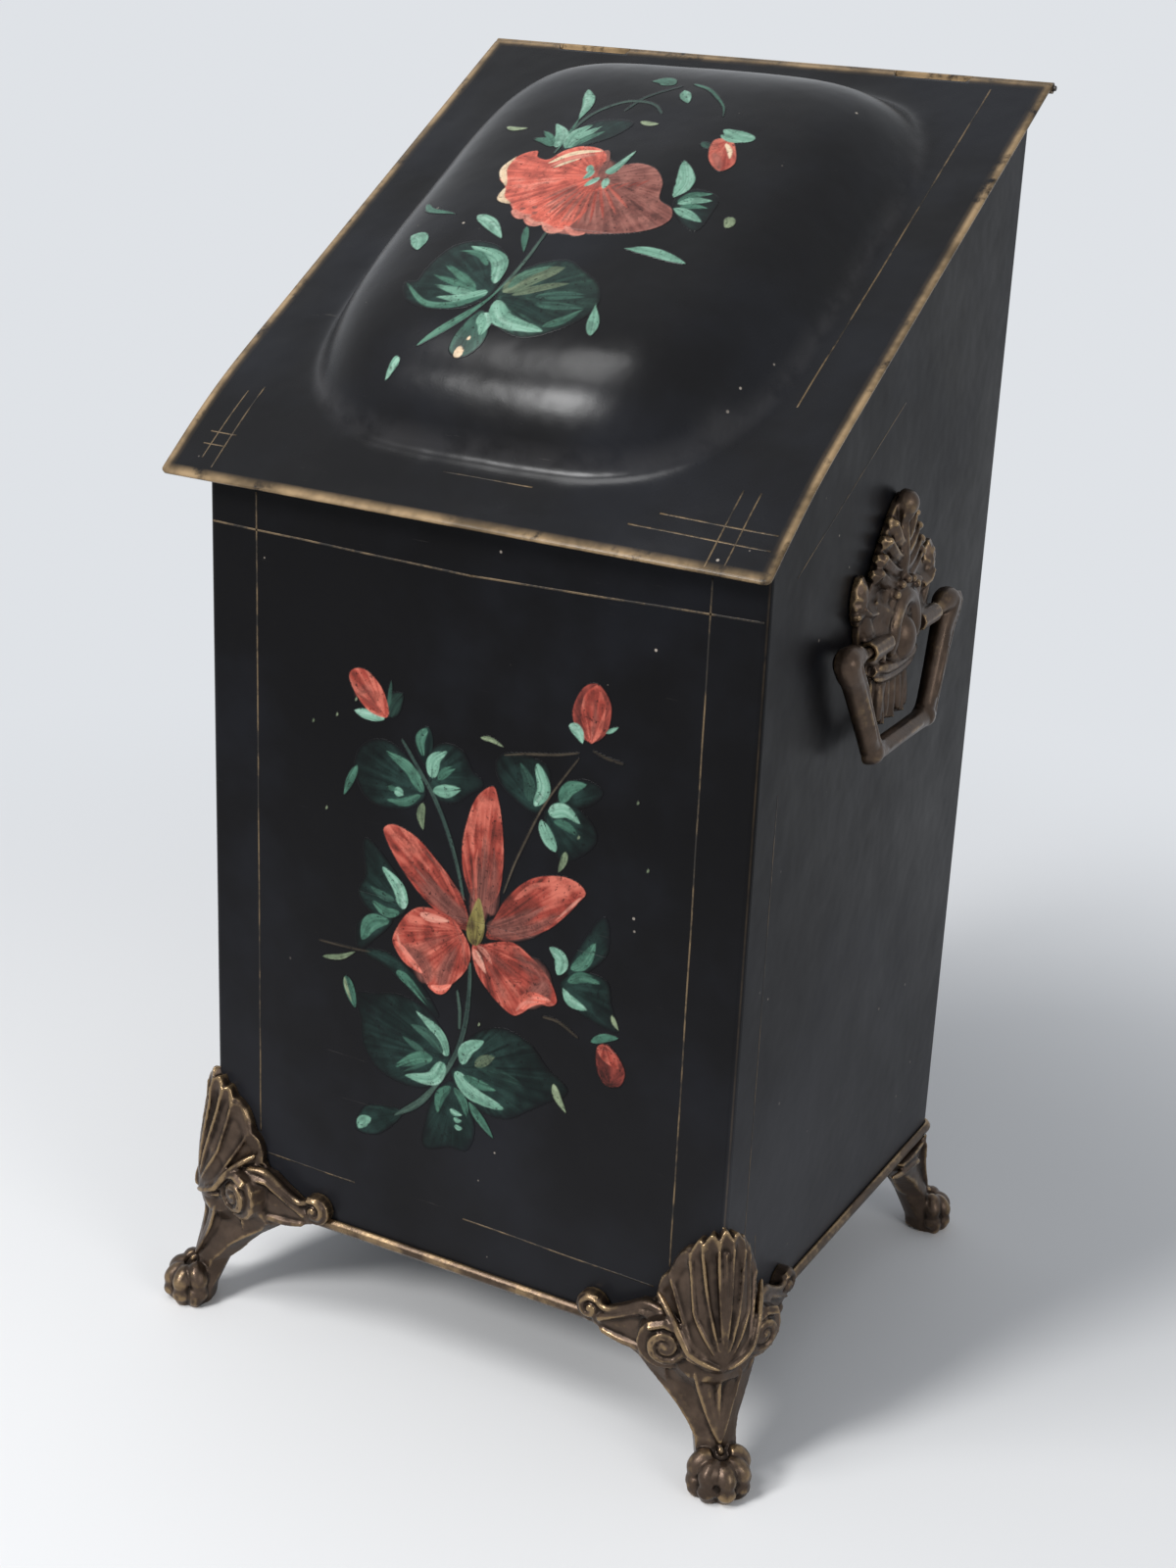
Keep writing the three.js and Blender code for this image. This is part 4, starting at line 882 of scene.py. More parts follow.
def lid_skin(bm):
    """The pressed sheet, with round corners, and notched at its back edge for the bin's knuckles."""
    radius = 3.0

    def place(u, v):
        x = lerp(-LID_HALF_WIDTH, LID_HALF_WIDTH, u)
        s = lerp(0, LID_LENGTH, v)
        dx, ds = abs(x) - (LID_HALF_WIDTH - radius), max(s - (LID_LENGTH - radius), radius - s)
        if dx > 0 and ds > 0 and hypot(dx, ds) > radius:
            shrink = radius / hypot(dx, ds)
            x = (LID_HALF_WIDTH - radius + dx * shrink) * (1 if x > 0 else -1)
            s = LID_LENGTH - radius + ds * shrink if s > radius else radius - ds * shrink
        if NOTCHES[0] < abs(x) < NOTCHES[1]:
            s = max(s, NOTCH_DEPTH)
        return on_lid(x, s, lid_height(x, s))

    verts = grid(bm, 160, 178, place)
    bmesh.ops.remove_doubles(bm, verts=verts, dist=1e-3)


def store(mesh, name, values):
    """Keeps a value for each point of a mesh."""
    mesh.attributes.new(name, "FLOAT", "POINT").data.foreach_set("value", np.array(values, np.float32))


# ---------------------------------------------------------------- painted decoration

# Each paint has its thin, dark tone, its body, and its loaded, light tone.
PAINTS = {
    "red": ((0.07, 0.019, 0.015), (0.285, 0.048, 0.034), (0.5, 0.135, 0.095)),
    "deep_red": ((0.04, 0.014, 0.012), (0.14, 0.03, 0.024), (0.3, 0.06, 0.043)),
    # bright_red holds painted sheen: it is made lighter for the glossy lid's flower, over the red's own
    # brightness; a few strokes on the front use it too
    "bright_red": ((0.34, 0.07, 0.05), (0.58, 0.125, 0.085), (0.74, 0.27, 0.2)),
    "brown": ((0.06, 0.024, 0.02), (0.17, 0.06, 0.048), (0.3, 0.12, 0.095)),
    "blush": ((0.38, 0.1, 0.075), (0.55, 0.2, 0.15), (0.66, 0.36, 0.27)),
    "cream": ((0.45, 0.28, 0.17), (0.66, 0.5, 0.33), (0.74, 0.62, 0.45)),
    "ochre": ((0.06, 0.042, 0.02), (0.17, 0.14, 0.045), (0.26, 0.22, 0.08)),
    "wash": ((0.005, 0.009, 0.0085), (0.009, 0.019, 0.0165), (0.018, 0.04, 0.034)),
    "dim": ((0.012, 0.026, 0.022), (0.027, 0.062, 0.048), (0.05, 0.115, 0.085)),
    "green": ((0.024, 0.06, 0.043), (0.052, 0.132, 0.093), (0.1, 0.22, 0.155)),
    # light holds painted sheen: it is made paler for the glossy lid's leaves, over the green's own
    # lightness; the front's leaves use it too
    "light": ((0.07, 0.15, 0.11), (0.15, 0.3, 0.22), (0.3, 0.48, 0.38)),
    "stem": ((0.016, 0.028, 0.025), (0.03, 0.052, 0.044), (0.06, 0.1, 0.078)),
    "pale": ((0.1, 0.135, 0.08), (0.22, 0.27, 0.165), (0.34, 0.4, 0.26)),
    "twig": ((0.02, 0.016, 0.012), (0.05, 0.04, 0.028), (0.12, 0.095, 0.065)),
}


def rough(a, b, seed=0.0):
    """Smooth noise from 0 to 1 over the plane (a, b)."""
    ia, ib = np.floor(a), np.floor(b)
    fa, fb = a - ia, b - ib
    fa, fb = fa * fa * (3 - 2 * fa), fb * fb * (3 - 2 * fb)

    def corner(i, j):
        value = np.sin(i * 127.1 + j * 311.7 + seed * 74.7) * 43758.5453
        return value - np.floor(value)

    low = lerp(corner(ia, ib), corner(ia + 1, ib), fa)
    high = lerp(corner(ia, ib + 1), corner(ia + 1, ib + 1), fa)
    return lerp(low, high, fb)


def ease(x, low, high):
    """smoothstep for arrays; low may be above high."""
    t = np.clip((x - low) / (high - low), 0, 1)
    return t * t * (3 - 2 * t)


def tone(paint, level):
    """The paint's colour from its thin, dark tone at 0 to its loaded, light one at 1."""
    dark, body, light = (np.array(c) for c in PAINTS[paint])
    level = np.clip(level, 0, 1)[..., None]
    return np.where(level < 0.5, lerp(dark, body, level * 2), lerp(body, light, level * 2 - 1))


def ring(points, steps=8):
    """Points of the smooth closed curve through the given ones."""
    count = len(points)
    made = []
    for i in range(count):
        four = [points[(i + k - 1) % count] for k in range(4)]
        made += [curve(*four, k / steps) for k in range(steps)]
    return np.array(made + made[:1])


STROKE_STEPS = 40  # into how many pieces a stroke's path is cut
BARE = 0.02  # below this share of paint the sheet is left bare


class Painting:
    """A picture that is built up stroke by stroke on a fine grid of points, in millimetres.

    Its paths and outlines are flat rows of numbers: across, up, across, up, and so on. On a sheet
    whose places are counted down from its top, way is -1.
    """

    def __init__(self, left, right, low, high, way=1):
        pitch = bpy.context.scene.scuttle_sizes.paint_grain
        self.across = np.arange(left, right, pitch)
        self.up = np.arange(low, high, pitch)
        self.x, self.z = np.meshgrid(self.across, self.up)
        self.colour = np.zeros((*self.x.shape, 3))
        self.cover = np.zeros(self.x.shape)
        self.count = 0
        self.way = way

    def points(self, row):
        """The points of a flat row of numbers."""
        return [(x, self.way * z) for x, z in zip(row[::2], row[1::2])]

    def window(self, points, margin):
        """The part of the grid round some points."""
        low, high = points.min(0) - margin, points.max(0) + margin
        columns = slice(*np.searchsorted(self.across, (low[0], high[0])))
        rows = slice(*np.searchsorted(self.up, (low[1], high[1])))
        return rows, columns

    def nearest(self, window, line):
        """How far along the line its nearest point lies, and how far off the line, left or right."""
        x, z = self.x[window][..., None], self.z[window][..., None]
        a, d = line[:-1], np.diff(line, axis=0)
        t = ((x - a[:, 0]) * d[:, 0] + (z - a[:, 1]) * d[:, 1]) / np.maximum((d**2).sum(1), 1e-9)
        t = np.clip(t, 0, 1)
        gx, gz = x - a[:, 0] - t * d[:, 0], z - a[:, 1] - t * d[:, 1]
        off = np.hypot(gx, gz)
        best = off.argmin(-1)[..., None]
        side = np.where(d[:, 0] * gz - d[:, 1] * gx < 0, -1.0, 1.0)
        share = np.take_along_axis(t, best, -1) + best
        return share[..., 0] / len(d), np.take_along_axis(off * side, best, -1)[..., 0]

    def lay(self, window, share, colour):
        """Lays paint over what is there."""
        old = self.cover[window] * (1 - share)
        whole = old + share
        mixed = old[..., None] * self.colour[window] + share[..., None] * colour
        self.colour[window] = mixed / np.maximum(whole, 1e-6)[..., None]
        self.cover[window] = whole

    def stroke(self, paint, width, row, peak=0.42, soft=0.5, load=1.0, dry=0.0, light=0.0, blunt=0.7):
        """A stroke of the brush: its half width, where it is widest, and how it frays at its end."""
        self.count += 1
        path = self.points(row)
        line = np.array([along(path, i / STROKE_STEPS) for i in range(STROKE_STEPS + 1)])
        window = self.window(line, width + 2)
        share, off = self.nearest(window, line)
        length = np.hypot(*np.diff(line, axis=0).T).sum()
        half = width * np.sin(pi * np.clip(share, 0, 1) ** (log(0.5) / log(peak))).clip(0) ** blunt
        half += 0.1 * width * (rough(share * length / 4, self.count + 0 * off, self.count) - 0.5)
        hairs = rough(share * length / 16, off / 0.6 + 40, self.count)
        broad = rough(share * length / 22, off / 1.7 + 20, self.count + 9)
        cover = np.clip((half - np.abs(off)) / soft + 0.5, 0, 1) * load
        if dry:
            limit = dry * share**2
            cover *= ease(0.6 * hairs + 0.4 * broad, limit - 0.3, limit)
        level = 0.52 + light + 0.55 * (hairs - 0.5) + 0.4 * (broad - 0.5)
        self.lay(window, cover, tone(paint, level))

    def line(self, paint, width, row, **how):
        """A thin stroke of nearly even width."""
        self.stroke(paint, width, row, peak=0.5, blunt=0.22, **how)

    def petal(self, paint, row, root, soft=0.5, load=1.0, shade=0.4, fade=0.0, light=0.0):
        """A broad shape, filled with strokes that fan out from its root and darken towards it."""
        self.count += 1
        line = ring(self.points(row))
        (root,) = self.points(root)
        window = self.window(line, soft + 1)
        x, z = self.x[window], self.z[window]
        _, off = self.nearest(window, line)
        a, b = line[:-1], line[1:]
        crossed = (a[:, 1] > z[..., None]) != (b[:, 1] > z[..., None])
        rise = b[:, 1] - a[:, 1]
        meet = (b[:, 0] - a[:, 0]) * (z[..., None] - a[:, 1]) / np.where(rise == 0, 1e-9, rise) + a[:, 0]
        inside = (crossed & (x[..., None] < meet)).sum(-1) % 2 == 1
        depth = np.where(inside, np.abs(off), -np.abs(off))
        dx, dz = x - root[0], z - root[1]
        far = np.hypot(*(line - np.array(root)).T).max()
        reach = np.hypot(dx, dz) / far
        angle = np.arctan2(dz, dx)
        hairs = rough(angle * far / 3.2, reach * far / 26, self.count)
        fine = rough(angle * far / 1.1, reach * far / 15, self.count + 5)
        blots = rough(x / 5, z / 5, self.count + 3)
        level = 0.6 + light - shade * (1 - ease(reach, 0.05, 0.85))
        level += 0.6 * (hairs - 0.5) + 0.4 * (fine - 0.5) + 0.6 * (blots - 0.5)
        level += 0.14 * ease(depth, 1.5, 0.3)
        cover = np.clip(depth / soft + 0.5, 0, 1) * load * (1 - fade * ease(reach, 0.35, 1.0))
        cover *= 1 - 0.35 * (1 - load) * (1 - hairs)
        self.lay(window, cover, tone(paint, level))

    def film(self, name, body, look, canvas, cuts):
        """Makes thin pieces of the painted places, one between each two cuts."""
        film = bpy.context.scene.scuttle_sizes.film
        for i, (low, high) in enumerate(zip(cuts, cuts[1:])):
            first, last = np.searchsorted(self.up, (low, high))
            last = min(last + 1, len(self.up))
            cover = self.cover[first:last]
            shown = cover > BARE
            shown = shown[:-1, :-1] | shown[1:, :-1] | shown[:-1, 1:] | shown[1:, 1:]
            rows, columns = cover.shape
            bm = bmesh.new()
            bmesh.ops.create_grid(bm, x_segments=columns - 1, y_segments=rows - 1, size=0.5)
            bare = []
            for face in bm.faces:
                spot = face.calc_center_median()
                if not shown[int((spot.y + 0.5) * (rows - 1)), int((spot.x + 0.5) * (columns - 1))]:
                    bare.append(face)
            bmesh.ops.delete(bm, geom=bare, context="FACES")
            spots = []
            for vert in bm.verts:
                column = round((vert.co.x + 0.5) * (columns - 1))
                row = round((vert.co.y + 0.5) * (rows - 1)) + first
                vert.co = canvas(self.across[column], self.up[row], 2 * film)
                spots.append((column, row))
            piece = piece_from(f"{name}_{i + 1}", bm, body, finish(look))
            column, row = np.array(spots).T
            paint = np.concatenate([self.colour[row, column], np.ones((len(spots), 1))], 1)
            layer = piece.data.attributes.new("Paint", "FLOAT_COLOR", "POINT")
            layer.data.foreach_set("color", paint.astype(np.float32).ravel())
            store(piece.data, "Cover", self.cover[row, column])
            thin_film(piece)


def paint_front():
    """The spray on the front: across from the middle, and up from the floor."""
    p = Painting(-96, 100, 120, 402)
    petal, stroke, line = p.petal, p.stroke, p.line
    wash = {"soft": 2.6, "load": 0.95, "shade": -0.2, "fade": 0.62}
    # dark leaves
    petal("wash", (-24, 322, -31, 334, -41, 342, -51, 343, -60, 337, -63, 327, -58, 315, -48, 311,
        -34, 313), (-24, 322), **wash)
    petal("wash", (-21, 331, -20, 343, -12, 349, -3, 347, 2, 339, 8, 334, 1, 328, -7, 322, -17, 322),
        (-21, 331), **wash)
    petal("wash", (-23, 356, -29, 350, -28, 343, -23, 337, -20, 345, -20, 352), (-23, 338), soft=1)
    petal("wash", (37, 327, 28, 331, 19, 338, 17, 347, 24, 352, 35, 352, 43, 349, 44, 338, 41, 330),
        (38, 328), **wash)
    petal("wash", (50, 332, 54, 342, 63, 347, 72, 344, 66, 337, 58, 334), (50, 333), **wash)
    petal("wash", (44, 327, 56, 333, 66, 328, 70, 320, 64, 312, 54, 306, 48, 314), (44, 327), **wash)
    petal("wash", (-34, 259, -36, 270, -45, 281, -57, 290, -56, 272, -60, 262, -54, 254, -44, 252),
        (-34, 258), **wash)
    petal("wash", (-42, 251, -53, 251, -61, 243, -60, 232, -51, 240), (-42, 250), **wash)
    petal("wash", (59, 249, 66, 264, 77, 281, 79, 266, 72, 256, 64, 250), (59, 249), **wash)
    petal("wash", (56, 242, 66, 250, 79, 249, 82, 238, 86, 226, 74, 228, 62, 233), (57, 242), **wash)
    petal("wash", (-56, 230, -46, 232, -36, 229, -24, 220, -14, 206, -28, 215, -42, 225), (-54, 230),
        **wash)
    big = {"soft": 3.4, "load": 0.95, "shade": -0.3, "fade": 0.55, "light": -0.05}
    petal("wash", (-6, 184, -11, 197, -22, 207, -37, 210, -50, 207, -61, 204, -58, 192, -56, 178, -46, 167,
        -28, 164, -14, 169, -8, 177), (-6, 184), **big)
    petal("wash", (0, 182, 4, 194, 12, 203, 25, 208, 39, 204, 49, 194, 60, 186, 50, 178, 39, 170, 27, 162,
        13, 162, 1, 170, -4, 177), (-1, 181), **big)
    petal("wash", (-5, 171, -13, 161, -17, 149, -19, 132, -6, 136, 4, 137, 8, 147, 6, 159, 1, 167),
        (-3, 170), **big)
    petal("wash", (-34, 146, -44, 146, -56, 142, -61, 129, -50, 129, -40, 137), (-34, 145), soft=1.5,
        load=0.9, light=0.2)
    # stems
    line("stem", 1.1, (-37, 347, -28, 335, -18, 321, -10, 305, -4, 288, 0, 272), light=0.15)
    line("twig", 0.6, (60, 358, 48, 340, 40, 326, 32, 308, 27, 296, 22, 281), load=0.8, light=0.1)
    line("twig", 0.6, (20, 351, 32, 354, 48, 357, 60, 360.5), load=0.7)
    line("twig", 0.7, (67, 363, 74, 361, 83, 360), load=0.6)
    line("stem", 1.25, (4.5, 240, 4.2, 223, 2.5, 206, -2.5, 188, -12, 170, -23, 155, -34, 145), light=0.15)
    stroke("stem", 1.8, (-2, 188, -12, 170, -23, 155, -38, 143), peak=0.7, light=0.2)
    line("stem", 0.9, (-2.5, 223, -0.8, 212, -0.8, 202), load=0.8, light=0.2)
    line("twig", 0.6, (-85, 229, -65, 229.5, -54, 230.5), load=0.7)
    line("twig", 0.8, (46, 222, 55, 221.5, 66, 216), load=0.7)
    # light strokes on the leaves
    stroke("green", 3.3, (-24.5, 322.5, -33, 333, -46.5, 339), dry=0.75, peak=0.35)
    stroke("green", 2.2, (-26, 320.5, -35, 315, -45, 314), dry=0.7, load=0.85)
    stroke("light", 2.4, (-41, 319.5, -38, 319.5, -35.6, 318.6))
    stroke("green", 1.4, (-45, 321, -42, 320.5, -39, 321), load=0.7)
    stroke("light", 3.6, (-19.5, 331, -18.5, 340, -11.5, 346), peak=0.35, dry=0.5)
    stroke("green", 2.2, (-16, 331, -12, 335.5, -6.5, 339), dry=0.8)
    stroke("light", 3.2, (-18.8, 324.5, -11, 326, -3, 328.8), dry=0.55)
    stroke("green", 2.7, (-23, 355, -26.5, 349, -24.5, 340), dry=0.7)
    stroke("pale", 2.3, (-24.2, 317, -25.5, 310, -24, 303), light=-0.35)
    stroke("green", 2.2, (-62.5, 328, -66.5, 320, -70.3, 311), light=-0.1)
    stroke("light", 2.7, (-64.5, 356, -56, 355.4, -47, 355.2), peak=0.5)
    stroke("dim", 4.2, (-45, 357, -42, 364, -37, 370), load=0.5, soft=1.5, dry=0.5)
    stroke("dim", 1.2, (-45, 362, -44, 369, -43.5, 375), load=0.6)
    stroke("light", 3.5, (37.5, 329.5, 42, 339, 38, 350.5), peak=0.5, dry=0.35, blunt=0.5)
    stroke("dim", 3.2, (34.5, 331, 34, 340, 29, 349), dry=0.5, load=0.9)
    stroke("green", 3.4, (51, 334, 55.5, 342, 64.5, 346), dry=0.5)
    stroke("light", 3.7, (45, 327.5, 53.5, 330.5, 62, 326), dry=0.45, peak=0.35)
    stroke("green", 2.2, (48, 324, 55, 323, 62, 319), dry=0.75, load=0.8)
    stroke("light", 3.5, (41, 323, 44.5, 316, 49.5, 309), peak=0.5, blunt=0.6)
    stroke("pale", 1.9, (55, 310, 54, 305, 51.5, 299), light=-0.35)
    stroke("light", 3.8, (-34.5, 258.5, -37.5, 269, -47, 278), peak=0.4, dry=0.4, blunt=0.6)
    stroke("green", 2.7, (-37, 256, -45, 254.5, -53, 258.5), dry=0.5)
    stroke("dim", 2.2, (-40, 262, -47, 263, -54, 266), dry=0.6)
    stroke("green", 4.0, (-43, 250, -53.5, 246.5, -59, 236), dry=0.3, peak=0.5, blunt=0.6)
    stroke("light", 3.8, (48.5, 259.5, 55, 254.5, 53.5, 246), peak=0.55, blunt=0.6)
    stroke("green", 3.4, (60.5, 251, 67.5, 257, 73, 268), dry=0.6, peak=0.45)
    stroke("green", 2.7, (59, 244, 67, 248.5, 77, 248), dry=0.9, load=0.8, light=-0.1)
    stroke("light", 2.9, (56.5, 240, 61, 234.5, 70, 232), dry=0.5, peak=0.55)
    stroke("pale", 1.2, (83.5, 233, 85, 229.5, 87.5, 226))
    stroke("pale", 1.5, (-82.5, 220.5, -72, 223, -63, 228), light=-0.35)
    stroke("green", 2.7, (-38, 224, -30, 219.5, -18, 209), dry=0.5, peak=0.35)
    stroke("green", 3.3, (-68.5, 213.5, -66, 206, -62.5, 197), dry=0.4, light=-0.15)
    stroke("pale", 1.0, (-69.3, 212.5, -68, 207, -65, 200))
    stroke("light", 3.4, (-7.5, 185.5, -13, 196.5, -26, 205), peak=0.35, dry=0.5)
    stroke("dim", 3.2, (-10, 186.5, -18, 193.5, -29, 197), dry=0.5)
    stroke("dim", 2.0, (-19, 183, -27, 186, -34, 189), dry=0.7)
    stroke("light", 4.0, (-9.5, 181, -16, 170.5, -32, 167.5), peak=0.35, dry=0.55)
    stroke("green", 3.6, (-16, 182, -26, 178.5, -38, 171), peak=0.4, dry=0.6)
    stroke("dim", 1.0, (-18, 179, -26, 174, -33, 169.5))
    stroke("light", 3.7, (1, 183.5, 4, 192.5, 13.5, 199.5), peak=0.42, dry=0.3, blunt=0.6)
    stroke("pale", 2.8, (9, 184.5, 14, 189, 20, 193), load=0.6, light=-0.35, dry=0.5)
    stroke("dim", 2.6, (10, 184, 24, 184, 36, 182), load=0.4, dry=0.6)
    stroke("light", 4.3, (-2.5, 178, 8, 169, 26, 165.5), peak=0.4, dry=0.45, blunt=0.6)
    stroke("green", 2.6, (2, 177, 12, 175, 21, 174.5), dry=0.7)
    stroke("green", 2.9, (-5, 169, -11, 162, -12.5, 152), dry=0.6)
    stroke("green", 2.4, (-3, 169, 2.5, 163, 5, 154), dry=0.7, load=0.85)
    stroke("light", 1.7, (-5, 156.3, -2, 155, 2, 155))
    stroke("light", 1.3, (-2.6, 152, -0.6, 151.2, 2, 151.8))
    stroke("light", 1.4, (-2, 148, 0, 147.2, 2.4, 147.6))
    stroke("green", 2.5, (6, 163.5, 11.5, 157, 20.5, 147.5), peak=0.5)
    stroke("light", 3.0, (-60, 129, -57.5, 133.5, -52.5, 137), peak=0.5, blunt=0.6)
    stroke("pale", 2.1, (53.5, 187.5, 56, 181, 61, 174), light=-0.2)
    stroke("pale", 1.2, (7, 357, 13, 357, 19.5, 355), light=-0.2)
    # three upright petals
    petal("red", (14.2, 334, 5.6, 326.5, 0.4, 312, -1.8, 298, 0, 284, 6, 272, 13, 271, 19.6, 281, 21.4, 298,
        20.2, 315, 17.6, 328), (9, 258), shade=0.5)
    petal("red", (-46.5, 299, -40, 302, -28, 298.5, -17, 290, -7, 280.5, 1, 269, 3, 258, -1, 256.5,
        -16.5, 263, -28, 271.5, -38.5, 283, -45, 293), (4, 258), shade=0.5)
    petal("red", (66.5, 292, 61.5, 296.3, 51.5, 297, 37, 292, 25, 280.5, 18, 268, 13, 256.5, 18.5, 255.5,
        31.5, 259.5, 46.7, 268, 57, 278.5, 63.5, 287), (11, 258), shade=0.5)
    for path, width, load in (
        ((8, 262, 9.5, 285, 12, 312), 4.6, 0.9),
        ((15, 268, 16.5, 286, 16, 308), 3.2, 0.75),
        ((2, 261, -12, 270, -30, 284), 4.0, 0.85),
        ((-4, 262, -17, 268.5, -33, 281), 2.6, 0.75),
        ((14, 259, 30, 268, 47, 281), 4.2, 0.9),
        ((20, 258.5, 38, 266, 55, 279), 3.4, 0.85),
    ):
        stroke("brown", width, path, soft=2.4, load=load, dry=0.85, peak=0.25)
    stroke("red", 1.0, (7, 272, 6, 290, 7, 300), light=0.3, load=0.7)
    stroke("red", 1.4, (3, 300, 5, 317, 11, 330), light=0.45, dry=0.6, load=0.7)
    stroke("red", 1.6, (-41, 297, -31, 292, -20, 283), light=0.4, dry=0.7, load=0.7)
    stroke("red", 1.6, (28, 279, 40, 289, 58, 294), light=0.4, dry=0.7, load=0.7)
    stroke("blush", 0.8, (64, 289, 59, 283, 51, 274), load=0.7)
    line("brown", 0.5, (1, 272, -10, 282, -24, 293), load=0.5)
    # two broad petals
    petal("red", (-23, 262.5, -8, 261.5, 1, 253, 4.6, 244.5, 1.8, 234.5, -6.5, 224.5, -13, 218.6,
        -18.5, 219.7, -23.5, 226, -33.5, 230.5, -40.2, 238, -39.5, 245, -32.5, 256.5), (2, 256), shade=0.15,
        light=-0.02)
    petal("red", (5.4, 248.8, 12, 251.6, 27, 256.6, 38.5, 251.5, 48.5, 243, 53.4, 233, 50, 228.6, 42, 227.6,
        34, 220.4, 28, 218.5, 16.5, 226, 8, 236.3), (8, 252), shade=0.15, light=-0.06)
    for path, width, load in (
        ((-20, 222, -24, 232, -36, 241), 5.2, 0.75),
        ((-12, 222, -10, 232, -4, 246), 4.0, 0.75),
        ((-30, 232, -20, 243, -8, 250), 2.6, 0.45),
        ((48, 240, 42, 232, 33, 224), 5.2, 0.85),
        ((38, 250, 45, 244, 50, 234), 3.2, 0.65),
        ((10, 249, 20, 245, 33, 238), 1.6, 0.5),
        ((28, 254, 36, 246, 41, 236), 2.2, 0.5),
        ((24, 226, 20, 234, 12, 244), 2.0, 0.4),
    ):
        stroke("brown", width, path, soft=3.0, load=load, dry=0.6, peak=0.35)
    stroke("bright_red", 3.0, (-39, 240, -32, 232.5, -23, 227), load=0.9, light=0.1)
    stroke("blush", 1.0, (-38, 244, -35, 237, -25, 230.5), load=0.5)
    stroke("bright_red", 2.4, (-18, 221, -12.5, 220.5, -6, 225), load=0.95)
    stroke("blush", 2.4, (-25, 258.5, -18, 258, -8, 258.8), load=0.85, dry=0.4)
    stroke("bright_red", 3.6, (33, 223, 39, 229.5, 50, 231.5), load=0.9, light=0.05)
    stroke("blush", 1.0, (31, 221, 36, 226.5, 44, 229), load=0.6)
    stroke("blush", 2.2, (6, 247.5, 9, 243, 13.5, 236.5), load=0.9, light=0.2, dry=0.5)
    stroke("blush", 1.4, (8, 250, 13, 247, 17, 242), load=0.7, dry=0.5)
    line("brown", 0.5, (-7, 261, -1, 250, 3, 236), load=0.5)
    # the pistil
    petal("ochre", (8.7, 275, 4.6, 267, 2, 258, 3.2, 251.5, 7.5, 249.6, 11, 254, 12, 263), (7, 247),
        shade=0.6)
    # buds
    petal("red", (-67.6, 372, -65, 377, -58, 377.7, -50.5, 372.5, -46, 365, -45.3, 356.5, -55, 357,
        -62.5, 363), (-46, 356), shade=0.1, light=0.12)
    stroke("brown", 2.2, (-64, 364, -57, 368, -53, 361), soft=2, load=0.45)
    stroke("deep_red", 1.6, (-49, 358, -55, 361, -63, 365), soft=1.2, load=0.8)
    petal("deep_red", (66.7, 395.5, 60, 391.5, 55.5, 380, 59, 370.5, 66, 367, 73.5, 373, 75.5, 385,
        72, 392.5), (66, 366), shade=0.1)
    petal("red", (68, 395, 61.5, 389, 60, 378, 63, 371.5, 66, 366.5, 71, 373, 72.5, 385, 70, 392),
        (66, 366), shade=0.25, light=0.1)
    stroke("brown", 1.3, (66, 368, 67.5, 378, 67, 388), soft=1.5, load=0.55)
    stroke("light", 3.0, (54, 373, 58.5, 371, 61.5, 365.5))
    stroke("light", 1.0, (73.5, 373, 76.5, 375, 79.5, 377))
    petal("deep_red", (76.5, 214, 82, 217, 88.5, 211.5, 92, 204.5, 89.5, 197, 82, 195.5, 77, 202.5),
        (84, 196), shade=0.35, light=-0.1)
    petal("red", (76.5, 214, 81, 216.6, 86.5, 212.5, 88.4, 206, 84, 206.5, 79, 209), (80, 216), shade=-0.1)
    stroke("green", 2.2, (73, 216, 80, 220, 87.5, 222), light=0.05)
    # knocks and scratches in the paint
    for x, z in (
        (-89, 345), (-75, 351), (91, 342), (-81, 301), (98, 310), (10, 207), (-64, 361), (61, 318),
    ):
        stroke("pale", 0.6, (x, z, x + 0.6, z + 1.2, x + 0.4, z + 2), load=0.6)
    p.film("front_spray", "scuttle", "painted_bin", front_canvas, (120, 214, 262, 402))


